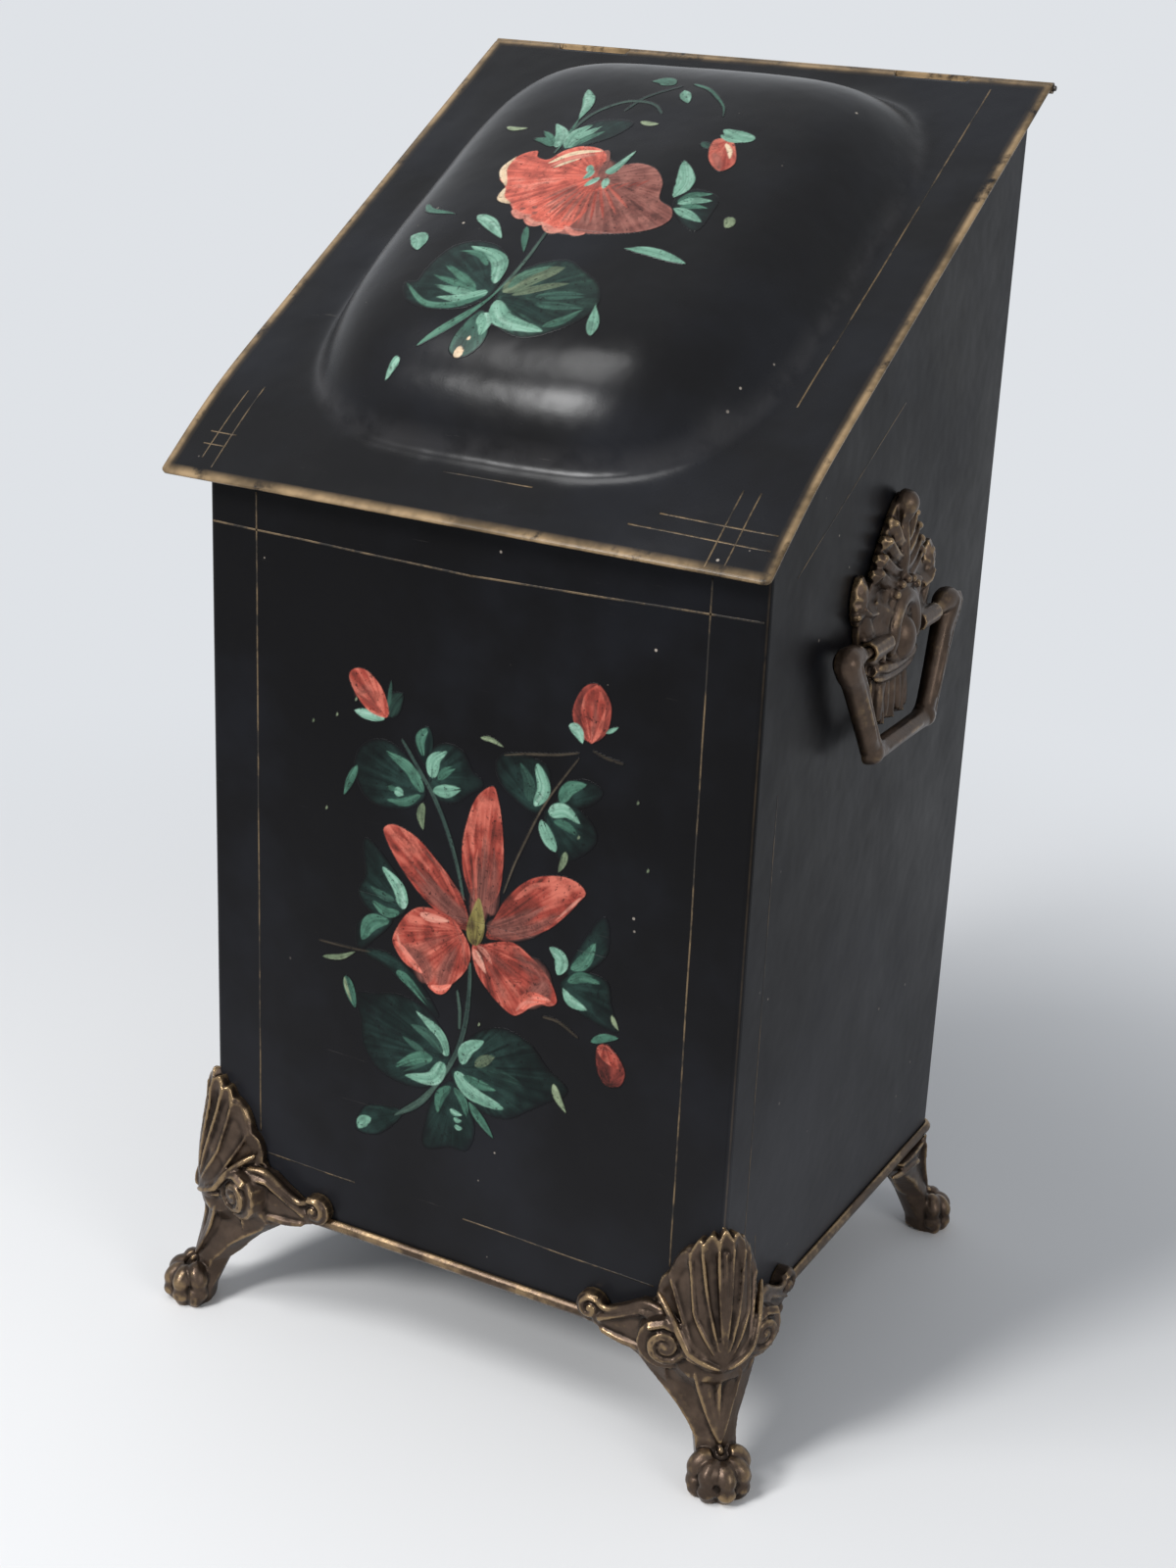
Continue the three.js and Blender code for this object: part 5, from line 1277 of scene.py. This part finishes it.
def paint_lid():
    """The spray on the lid: across, and down the slope from the hinge."""
    p = Painting(-96, 78, -300, -68, way=-1)
    petal, stroke, line = p.petal, p.stroke, p.line
    wash = {"soft": 2.4, "load": 0.95, "shade": -0.35, "fade": 0.25}
    petal("wash", (-19, 247, -21, 232, -30, 221, -43, 218, -54, 223, -59, 236, -60, 248, -66, 250, -60, 259,
        -47, 263, -30, 261, -21, 254), (-19, 250), **wash)
    petal("dim", (-14, 253, -14, 240, -5, 229, 8, 224, 18, 229, 29, 236, 35, 247, 32, 258, 20, 268, 7, 272,
        -7, 267), (-14, 253), soft=2.4, load=0.8, shade=0.0, fade=0.45, light=-0.3)
    petal("wash", (-34, 143, -36, 131, -28, 119, -16, 116, -10, 118, -14, 128, -22, 136), (-33, 143),
        **wash)
    petal("wash", (40, 172, 46, 163, 58, 166, 60, 178, 58, 190, 48, 184), (41, 176), soft=2, load=0.7,
        fade=0.5)
    petal("dim", (-18, 262, -10.5, 271, -10.5, 279, -17, 285, -25, 283, -24, 273), (-18, 263), soft=1.0,
        light=-0.05, shade=-0.3)
    # stems
    line("stem", 0.9, (-11.7, 205, -12.5, 223, -14.2, 238, -18, 255), light=0.35)
    stroke("green", 2.0, (-14, 240, -19, 256, -28, 269, -43, 283), peak=0.72, light=0.15)
    line("stem", 0.9, (-38, 147, -37.6, 125, -33.3, 110, -23.3, 99.5, -13.3, 97.5, -5, 100, 1.4, 106.5),
        light=0.3)
    line("stem", 0.8, (-19, 107, -13.5, 93, 0, 80), light=0.05, load=0.8)
    stroke("green", 1.0, (5, 77, 15, 81, 23.5, 88.5, 30, 96, 33.5, 104), peak=0.2, light=-0.1)
    # light strokes on the leaves
    stroke("light", 3.1, (-39.2, 118, -41.5, 103, -48, 90.5), peak=0.6)
    stroke("green", 0.8, (-37.6, 144, -38.4, 130, -39.4, 116))
    stroke("light", 3.4, (-39.5, 142, -42, 131, -49.5, 122.5), dry=0.4)
    stroke("green", 2.3, (-42, 141, -48, 137, -56, 135.5), dry=0.9)
    stroke("green", 1.8, (-42, 140, -48, 133, -54, 129), dry=0.9)
    stroke("light", 3.4, (-33.5, 142.5, -35, 131, -29.5, 121), dry=0.55)
    stroke("light", 2.6, (-32, 142, -29.5, 131, -24, 122), dry=0.7)
    stroke("green", 2.2, (-31, 141, -26, 132, -20, 126), dry=0.85)
    stroke("green", 4.4, (-18.5, 77.5, -12, 76, -5, 79), dry=0.3, peak=0.6)
    stroke("light", 2.7, (3, 84, 6, 89, 10.5, 95.5), peak=0.5, light=-0.1)
    stroke("pale", 1.8, (-6, 115, -1, 116, 4, 115.6))
    stroke("pale", 1.5, (-77, 125.5, -71, 127.5, -64, 127), light=-0.1)
    stroke("light", 4.4, (39, 115, 48, 118.5, 57, 119), peak=0.55, blunt=0.55)
    stroke("dim", 2.0, (33, 127, 36, 129, 38, 131))
    stroke("light", 4.4, (38, 170, 38.5, 158, 31, 143), peak=0.5, dry=0.3)
    stroke("green", 2.4, (41.5, 173, 46, 167, 55, 163.5), dry=0.6)
    stroke("light", 2.4, (42, 174, 49, 170, 57, 168.5), dry=0.65)
    stroke("green", 1.8, (44, 176, 50, 174, 57, 174), dry=0.8)
    stroke("light", 2.9, (41.5, 177.5, 49, 180, 58.5, 184), dry=0.3, peak=0.5)
    stroke("pale", 2.6, (69.5, 177.5, 71.5, 181, 71.5, 185), blunt=0.5)
    stroke("light", 3.0, (31.5, 210, 45, 209.5, 64, 213.5), peak=0.58)
    stroke("light", 3.0, (35, 248, 38.5, 258, 41, 267), peak=0.65, light=-0.1)
    stroke("green", 1.7, (-91, 187, -83, 194.5, -67, 198), light=0.05)
    stroke("light", 4.6, (-84, 214, -77, 217.5, -73, 226), peak=0.5, dry=0.2)
    stroke("light", 3.5, (-54, 198, -44, 203.5, -32.5, 213.5), peak=0.42)
    stroke("green", 1.7, (-23.5, 204, -20.5, 212, -16.5, 221), light=-0.05)
    stroke("light", 2.3, (-50.5, 288.5, -52.5, 291, -55.3, 297), peak=0.4)
    stroke("light", 4.0, (-20, 244, -26.5, 228, -45, 221), peak=0.42, dry=0.35)
    stroke("green", 2.0, (-30, 233, -38, 226, -50, 225), dry=0.9)
    stroke("green", 2.3, (-28, 249, -38, 243, -52, 235), dry=0.7)
    stroke("green", 2.3, (-26, 251, -38, 247.5, -54, 243), dry=0.7)
    stroke("light", 2.3, (-25, 253, -37, 252, -50, 249.5), dry=0.65)
    stroke("light", 2.9, (-21, 250, -31, 256, -45, 257), dry=0.5, peak=0.3)
    stroke("green", 1.9, (-21.5, 253, -34, 260.5, -50, 261, -66, 249.5), peak=0.4)
    stroke("pale", 6.0, (-13.5, 249, -5, 238, 9, 228), load=0.6, light=-0.35, dry=0.45)
    stroke("green", 2.6, (-12, 246, -8, 236, 3, 228), load=0.75, dry=0.5)
    stroke("pale", 2.4, (-8, 250, 4, 243, 16, 238), load=0.55, light=-0.4, dry=0.6)
    stroke("dim", 2.6, (4, 249, 17, 246, 30, 244), dry=0.7, light=0.1)
    stroke("dim", 2.4, (6, 254, 18, 253, 31, 252), dry=0.7, light=0.1)
    stroke("wash", 4.2, (-12, 253, 2, 256, 18, 262), load=0.85, soft=1.5)
    stroke("light", 4.6, (-14, 254.5, -5, 265, 17, 268.5), peak=0.4, dry=0.4)
    stroke("green", 2.4, (16, 266, 24, 261, 31, 253), dry=0.8, load=0.6)
    stroke("light", 3.8, (-17.5, 263.5, -13.5, 268, -12.5, 275), dry=0.5, peak=0.4)
    stroke("cream", 2.6, (-22, 283, -20, 283.5, -17.6, 283), blunt=0.5)
    stroke("cream", 1.0, (-18.2, 276.4, -17.5, 276.8, -16.8, 276.4))
    # the flower: a bright lobe and a thin, brown one
    petal("brown", (-12, 142, -6.5, 148, -3, 160, 1, 158, 2.5, 153, 10, 149.6, 20, 152, 28, 161, 32, 173,
        40.5, 178, 43.4, 186, 38.5, 194, 27, 200, 9, 204, -8, 205, -20, 190, -22, 160), (-4, 164),
        shade=-0.1, light=0.1)
    petal("bright_red", (-58.5, 157, -55.5, 149, -48.5, 145.6, -45.5, 150.5, -38.5, 152, -33.5, 144.5,
        -25, 140, -14, 141.6, -8, 148.5, -7, 158, -4, 165, 4, 171, 2, 186, -4, 203, -15, 202, -27, 198.6,
        -36, 193.5, -42, 187.5, -49.5, 183.5, -51, 175, -57.5, 168.5), (-5, 163), shade=0.2, light=-0.12)
    stroke("brown", 5.0, (-6, 150, -4, 160, -2, 172), soft=3, load=0.7)
    # hairs that fan out from the throat
    for i in range(22):
        share = i / 21
        angle = radians(lerp(214, 333, share))
        near, far = lerp(12, 7, abs(share - 0.4)), lerp(33, 38, share) - 5 * abs(share - 0.5)
        x, s = -5 + 0.85 * far * cos(angle), 164 - far * sin(angle)
        x0, s0 = -5 + near * cos(angle), 164 - near * sin(angle)
        hair = (x0, s0, (x0 + x) / 2, (s0 + s) / 2, x, s)
        if i % 2:
            stroke("brown", 1.15, hair, load=0.8, soft=0.7, light=0.1)
        else:
            stroke("red", 0.9, hair, load=0.85, light=0.1)
    for x, s, reach in ((3, 172, 9), (8, 171, 8), (13, 169, 8), (17, 167, 7)):
        stroke("red", 0.7, (x, s, x + 2, s - 3, x + reach * 0.6, s - 6), load=0.7)
    for x, s, w in ((-31, 195.5, 3.4), (-22, 200, 3.2), (-10, 203.5, 3.4), (2, 203.6, 2.6)):
        stroke("blush", w * 0.62, (x - 6.5, s - 3, x, s + 1.2, x + 6, s + 0.4), light=0.05, blunt=0.5)
    for x, s in ((-33, 190.5), (-25, 193), (-27, 189)):
        stroke("brown", 1.2, (x - 1, s, x + 0.6, s + 0.8, x + 1.6, s - 0.4), load=0.8)
    stroke("cream", 1.9, (-57.6, 151, -59, 162, -51, 174.5), peak=0.6)
    stroke("cream", 1.8, (-50.6, 176, -48.6, 184, -41, 188), peak=0.5)
    stroke("cream", 1.7, (-37, 155, -27, 146.5, -13, 142.6), peak=0.45, dry=0.3)
    stroke("blush", 1.9, (-35, 157.5, -24, 149.5, -14, 146), load=0.9)
    stroke("cream", 1.0, (-32.5, 158.5, -27, 154, -21.5, 150.5), dry=0.3)
    stroke("deep_red", 1.2, (-42, 188, -33, 182, -26, 172), load=0.35, soft=1.5)
    stroke("deep_red", 1.2, (-52, 170, -40, 168, -28, 164), load=0.3, soft=1.5)
    for path in (
        (-14, 155, -12, 158.5, -11.4, 161),
        (-10, 158.5, -10.5, 163, -12, 166),
        (-4, 164, -6.5, 168, -8.6, 171.5),
        (-0.2, 164, 1, 168, 2, 172),
    ):
        stroke("light", 1.9, path, blunt=0.6)
    stroke("light", 2.6, (-1.6, 160.5, 0.6, 154, 3.6, 140), peak=0.25)
    # the bud on the right
    petal("red", (38.8, 123, 46.5, 122.5, 52.5, 131, 55.5, 140, 51, 146.5, 43, 140.5, 38.6, 130.5),
        (45, 122), shade=-0.25, light=0.0)
    stroke("brown", 2.2, (42, 134, 47, 140, 51, 146), soft=1.5, load=0.6)
    stroke("cream", 1.3, (44.8, 125.5, 49, 130.5, 51.8, 136.5))
    stroke("light", 2.0, (39.5, 119.5, 46, 122, 52, 122.4))
    p.film("lid_spray", "lid", "painted_lid", lid_canvas, (-300, -202, -68))


def front_canvas(x, z, lift):
    """A place on the front: across and up."""
    return Vector((x, FRONT - lift, z))


def right_canvas(y, z, lift):
    """A place on the right side: back and up."""
    return Vector((BIN_HALF_WIDTH + lift, y, z))


def left_canvas(y, z, lift):
    """A place on the left side: back and up."""
    return Vector((-BIN_HALF_WIDTH - lift, y, z))


def lid_canvas(x, z, lift):
    """A place on the lid: z is 0 at the hinge and falls down the slope."""
    return on_lid(x, -z, lid_height(x, -z) + lift)


def turn_outward(bm, canvas):
    """Faces of a flat film point away from the sheet below it."""
    bm.normal_update()
    outward = canvas(0, -200, 1) - canvas(0, -200, 0)
    wrong = [face for face in bm.faces if face.normal.dot(outward) < 0]
    bmesh.ops.reverse_faces(bm, faces=wrong)


def thin_film(piece):
    """Gives a flat piece the thickness of the paint."""
    film = bpy.context.scene.scuttle_sizes.film
    skin = piece.modifiers.new("film", "SOLIDIFY")
    skin.thickness = film * MM
    skin.offset = -1
    skin.use_rim = True


# gold lines on each sheet: where from, where to, and half the width
FRONT_LINES = (
    ((-122, 108), (-122, 455), 0.42),
    ((122, 108), (122, 455), 0.42),
    ((-148, 436.8), (0, 434.4), 0.5),
    ((0, 434.4), (148, 439), 0.5),
    ((-120, 96.5), (-62, 96), 0.4),
    ((4, 96), (114, 94), 0.4),
)
SIDE_LINES = (
    ((-111, 122), (-111, 352), 0.3),
    ((-107, 453), (6, 513), 0.28),
    ((-96, 96), (-98, 116), 0.3),
)
LID_LINES = (
    ((131, -9), (131, -255), 0.42),
    ((129, -309), (128.4, -353), 0.42),
    ((137.5, -309), (137, -350), 0.38),
    ((97, -329), (154, -330), 0.42),
    ((85, -337.5), (154, -338.5), 0.42),
    ((-140.5, -299), (-142, -343), 0.38),
    ((-133, -295), (-134, -348), 0.42),
    ((-146, -327), (-131, -327), 0.35),
    ((-146, -334.5), (-133, -334.5), 0.35),
    ((-15, -327), (32, -327), 0.35),
)


def striping(name, body, canvas, lines):
    """Thin gold lines that sway a little, as drawn by hand."""
    film = bpy.context.scene.scuttle_sizes.film
    bm = bmesh.new()
    for (x0, z0), (x1, z1), width in lines:
        length = hypot(x1 - x0, z1 - z0)
        rows = int(clamp(length / 3, 4, 120))
        nx, nz = -(z1 - z0) / length, (x1 - x0) / length

        def place(u, v):
            sway = 0.25 * noise.noise(Vector((v * length / 40, x0, z0)))
            off = (u - 0.5) * 2 * width + sway
            return canvas(lerp(x0, x1, v) + nx * off, lerp(z0, z1, v) + nz * off, 2 * film)

        grid(bm, 2, rows, place)
    turn_outward(bm, canvas)
    thin_film(piece_from(name, bm, body, finish("gold_striping")))


# ---------------------------------------------------------------- operators

BACKDROP = (0.74, 0.765, 0.8, 1)
AMBIENT = (0.38, 0.4, 0.43, 1)
FLOOR_FADE = (0.3, 1.05)  # how far from the middle the floor turns into the backdrop
SHEET_EDGE = 0.00025  # how much the edges of the sheets are broken, in metres
# each lamp's place, what it is aimed at, its size and its power
LAMPS = {
    "softbox": ((-0.85, -2.0, 1.6), (0, 0, 0.4), 0.6, 40),
    "ceiling": ((-0.72, -1.15, 2.3), (0, 0, 0.4), 0.9, 23),
    "side_fill": ((2.3, -0.9, 1.1), (0, 0, 0.3), 1.2, 13),
}
CAMERA_SPOT = (551.135, -1044.966, 737.213)
CAMERA_TURN = (-28.097, -20.741, 2.564)  # yaw, pitch and roll
CAMERA_LENS = 54.964


def seen_directly(nodes, links):
    """1 for what the camera sees, also in a reflection or through glass."""
    path = nodes.new("ShaderNodeLightPath")
    seen = path.outputs["Is Camera Ray"]
    for other in ("Is Glossy Ray", "Is Transmission Ray"):
        either = nodes.new("ShaderNodeMath")
        either.operation = "MAXIMUM"
        links.new(seen, either.inputs[0])
        links.new(path.outputs[other], either.inputs[1])
        seen = either.outputs[0]
    return seen


class SCUTTLE_OT_stage(bpy.types.Operator):
    """Floor, soft light and the camera"""

    bl_idname = "scuttle.stage"
    bl_label = "Stage"

    def execute(self, context):
        scene = context.scene
        colours = scene.scuttle_colours
        scene.view_settings.view_transform = "Standard"
        bm = bmesh.new()
        bmesh.ops.create_grid(bm, x_segments=1, y_segments=1, size=25)
        mesh = bpy.data.meshes.new("floor")
        bm.to_mesh(mesh)
        bm.free()
        floor = bpy.data.objects.new("floor", mesh)
        scene.collection.objects.link(floor)
        cover = Finish("floor_cover", Roughness=0.6, Specular_IOR_Level=0.2)
        cover.surface.inputs["Base Color"].default_value = (*colours.floor, 1.0)
        far = cover.add("ShaderNodeVectorMath", {0: cover.place()}, operation="LENGTH").outputs["Value"]
        seen = seen_directly(cover.nodes, cover.links)
        fade = cover.calc("MULTIPLY", cover.band(far, *FLOOR_FADE), seen)
        pale = cover.add("ShaderNodeEmission", {"Color": BACKDROP})
        near = cover.surface.outputs[0]
        ends = cover.add("ShaderNodeMixShader", {0: fade, 1: near, 2: pale.outputs[0]})
        cover.links.new(ends.outputs[0], cover.nodes["Material Output"].inputs["Surface"])
        mesh.materials.append(cover.material)
        self.sky(scene)
        for name, settings in LAMPS.items():
            self.lamp(name, *settings)
        self.camera(scene)
        return {"FINISHED"}

    def sky(self, scene):
        """A soft room light, behind which the camera sees the backdrop."""
        world = bpy.data.worlds.new("room")
        world.use_nodes = True
        nodes, links = world.node_tree.nodes, world.node_tree.links
        background = nodes["Background"]
        seen = seen_directly(nodes, links)
        tone = nodes.new("ShaderNodeMix")
        tone.data_type = "RGBA"
        links.new(seen, tone.inputs[0])
        tone.inputs[6].default_value = AMBIENT
        tone.inputs[7].default_value = BACKDROP
        links.new(tone.outputs[2], background.inputs["Color"])
        scene.world = world

    def lamp(self, name, spot, aim, size, power):
        """A round area light."""
        light = bpy.data.lights.new(name, "AREA")
        light.shape = "DISK"
        light.size = size
        light.energy = power
        lamp = bpy.data.objects.new(name, light)
        lamp.location = spot
        lamp.rotation_euler = (Vector(aim) - Vector(spot)).to_track_quat("-Z", "Y").to_euler()
        bpy.context.scene.collection.objects.link(lamp)

    def camera(self, scene):
        """The view that was solved from the bin's straight edges."""
        yaw, pitch, roll = (radians(angle) for angle in CAMERA_TURN)
        ahead = Vector((sin(yaw) * cos(pitch), cos(yaw) * cos(pitch), sin(pitch)))
        level = Vector((cos(yaw), -sin(yaw), 0))
        above = level.cross(ahead)
        right = level * cos(roll) + above * sin(roll)
        up = above * cos(roll) - level * sin(roll)
        view = bpy.data.cameras.new("camera")
        view.lens = CAMERA_LENS
        view.sensor_width = 36
        eye = bpy.data.objects.new("camera", view)
        turn = Matrix((right, up, -ahead)).transposed().to_4x4()
        eye.matrix_world = Matrix.Translation(Vector(CAMERA_SPOT) * MM) @ turn
        scene.collection.objects.link(eye)
        scene.camera = eye


class SCUTTLE_OT_bin(bpy.types.Operator):
    """Japans the sheet-metal bin and its fasteners"""

    bl_idname = "scuttle.bin"
    bl_label = "Bin"

    def execute(self, context):
        for name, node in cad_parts.items():
            if name in ("body_wrap", "back_panel", "bottom_plate"):
                look = "japanned_bin"
            elif name.startswith(("hinge_pin", "foot_bolt", "foot_nut", "handle_screw")):
                look = "dull_steel"
            else:
                continue
            node.data.materials.clear()
            node.data.materials.append(finish(look))
            weld = node.modifiers.new("weld", "WELD")
            weld.merge_threshold = 1e-6
            edges = node.modifiers.new("edges", "BEVEL")
            edges.width = SHEET_EDGE
            edges.segments = 2
            edges.limit_method = "ANGLE"
            edges.angle_limit = radians(40)
        return {"FINISHED"}


class SCUTTLE_OT_rim(bpy.types.Operator):
    """The rounded bead round the foot of the bin"""

    bl_idname = "scuttle.rim"
    bl_label = "Rim"

    def execute(self, context):
        cast("rim", "base_rim", "scuttle", "gilt_bead", look="gilt_bronze", softness=3)
        return {"FINISHED"}


class SCUTTLE_OT_lid(bpy.types.Operator):
    """The pressed and domed lid with its rolled knuckles"""

    bl_idname = "scuttle.lid"
    bl_label = "Lid"

    def execute(self, context):
        sizes = context.scene.scuttle_sizes
        bm = bmesh.new()
        lid_skin(bm)
        bm.normal_update()
        bmesh.ops.reverse_faces(bm, faces=[face for face in bm.faces if face.normal.z < 0])
        borders, creases = [], []
        for vert in bm.verts:
            x, s = vert.co.x, self.down_slope(vert.co)
            # the border is 2 mm wide and fades to 4.6 mm; the painted highlight along the crease is 10 mm
            # wide
            borders.append(smoothstep(min(LID_HALF_WIDTH - abs(x), LID_LENGTH - s, s), 4.6, 2.0))
            creases.append(max(0.0, 1 - abs(dome_inset(x, s) - 1) / 5))
        lid = piece_from("lid", bm, "lid", finish("japanned_lid"))
        store(lid.data, "Border", borders)
        store(lid.data, "Crease", creases)
        sheet = lid.modifiers.new("sheet", "SOLIDIFY")
        sheet.thickness = sizes.sheet * MM
        sheet.offset = -1
        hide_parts("lid_panel")
        self.knuckles()
        return {"FINISHED"}

    def down_slope(self, co):
        """How far down the slope a point near the lid's skin lies."""
        y, z, slope = LID_LINE[0]
        s = (y - co.y) * cos(slope) + (z - co.z) * sin(slope)
        return clamp(s if s < LIP_FROM else s + 0.012 * (s - LIP_FROM), 0, LID_LENGTH)

    def knuckles(self):
        """The rolls of the lid's back edge round the pin."""
        bm = bmesh.new()
        turn = Matrix.Rotation(pi / 2, 4, "Y")
        for x0, x1 in ROLLS:
            for radius, inward in ((ROLL - 0.01, False), (1.75, True)):
                made = bmesh.ops.create_cone(
                    bm, segments=32, radius1=radius, radius2=radius, depth=x1 - x0, cap_ends=False
                )["verts"]
                bmesh.ops.transform(bm, matrix=turn, verts=made)
                bmesh.ops.translate(bm, vec=((x0 + x1) / 2, HINGE_BACK, HINGE_UP), verts=made)
                if inward:
                    faces = {face for vert in made for face in vert.link_faces}
                    bmesh.ops.reverse_faces(bm, faces=list(faces))
            for x in (x0, x1):
                ends = [edge for edge in bm.edges if edge.is_boundary]
                ends = [edge for edge in ends if all(abs(vert.co.x - x) < 1e-3 for vert in edge.verts)]
                bmesh.ops.bridge_loops(bm, edges=ends)
        bmesh.ops.recalc_face_normals(bm, faces=bm.faces)
        look = finish("japanned_lid")
        rolls = piece_from("lid_knuckles", bm, "lid", look, smooth=False)
        store(rolls.data, "Border", [1.0] * len(rolls.data.vertices))


class SCUTTLE_OT_front_feet(bpy.types.Operator):
    """The two front feet, with shell, scrolls and paw"""

    bl_idname = "scuttle.front_feet"
    bl_label = "Front feet"

    def execute(self, context):
        cast_pair("front_foot", "foot_front", front_foot_form)
        return {"FINISHED"}


class SCUTTLE_OT_rear_feet(bpy.types.Operator):
    """The two rear feet, with plain brackets"""

    bl_idname = "scuttle.rear_feet"
    bl_label = "Rear feet"

    def execute(self, context):
        cast_pair("rear_foot", "foot_rear", rear_foot_form, grain=0.85)
        return {"FINISHED"}


class SCUTTLE_OT_handles(bpy.types.Operator):
    """The cast plates of the side handles"""

    bl_idname = "scuttle.handles"
    bl_label = "Handle plates"

    def execute(self, context):
        cast_pair("handle", "handle_plate", handle_form, grain=0.6)
        return {"FINISHED"}


class SCUTTLE_OT_bails(bpy.types.Operator):
    """The drop handles that hang in the plates"""

    bl_idname = "scuttle.bails"
    bl_label = "Bails"

    def execute(self, context):
        cast_pair("bail_bar", "handle_bail", bail_form, "bail_right", "bail_left", grain=0.6, softness=6)
        return {"FINISHED"}


class SCUTTLE_OT_striping(bpy.types.Operator):
    """Thin gold lines on the bin and the lid"""

    bl_idname = "scuttle.striping"
    bl_label = "Gold striping"

    def execute(self, context):
        striping("front_lines", "scuttle", front_canvas, FRONT_LINES)
        striping("right_lines", "scuttle", right_canvas, SIDE_LINES)
        striping("left_lines", "scuttle", left_canvas, SIDE_LINES)
        striping("lid_lines", "lid", lid_canvas, LID_LINES)
        return {"FINISHED"}


class SCUTTLE_OT_front_spray(bpy.types.Operator):
    """The painted flower, leaves and buds on the front"""

    bl_idname = "scuttle.front_spray"
    bl_label = "Spray on the front"

    def execute(self, context):
        paint_front()
        return {"FINISHED"}


class SCUTTLE_OT_lid_spray(bpy.types.Operator):
    """The painted flower, leaves and bud on the dome"""

    bl_idname = "scuttle.lid_spray"
    bl_label = "Spray on the lid"

    def execute(self, context):
        paint_lid()
        return {"FINISHED"}


STEPS = (
    SCUTTLE_OT_stage,
    SCUTTLE_OT_bin,
    SCUTTLE_OT_rim,
    SCUTTLE_OT_lid,
    SCUTTLE_OT_front_feet,
    SCUTTLE_OT_rear_feet,
    SCUTTLE_OT_handles,
    SCUTTLE_OT_bails,
    SCUTTLE_OT_striping,
    SCUTTLE_OT_front_spray,
    SCUTTLE_OT_lid_spray,
)


class SCUTTLE_PT_panel(bpy.types.Panel):
    bl_label = "Coal scuttle"
    bl_idname = "SCUTTLE_PT_panel"
    bl_space_type = "VIEW_3D"
    bl_region_type = "UI"
    bl_category = "Scuttle"

    def draw(self, context):
        layout = self.layout
        for group in (context.scene.scuttle_sizes, context.scene.scuttle_colours):
            box = layout.box()
            for key in group.bl_rna.properties.keys():
                if key not in ("rna_type", "name"):
                    box.prop(group, key)
        for step in STEPS:
            layout.operator(step.bl_idname)


CLASSES = (ScuttleSizes, ScuttleColours, *STEPS, SCUTTLE_PT_panel)


def register():
    for cls in CLASSES:
        bpy.utils.register_class(cls)
    bpy.types.Scene.scuttle_sizes = PointerProperty(type=ScuttleSizes)
    bpy.types.Scene.scuttle_colours = PointerProperty(type=ScuttleColours)


def unregister():
    del bpy.types.Scene.scuttle_colours
    del bpy.types.Scene.scuttle_sizes
    for cls in reversed(CLASSES):
        bpy.utils.unregister_class(cls)


def main():
    register()
    for step in STEPS:
        group, name = step.bl_idname.split(".")
        getattr(getattr(bpy.ops, group), name)()


if __name__ == "__main__":
    main()
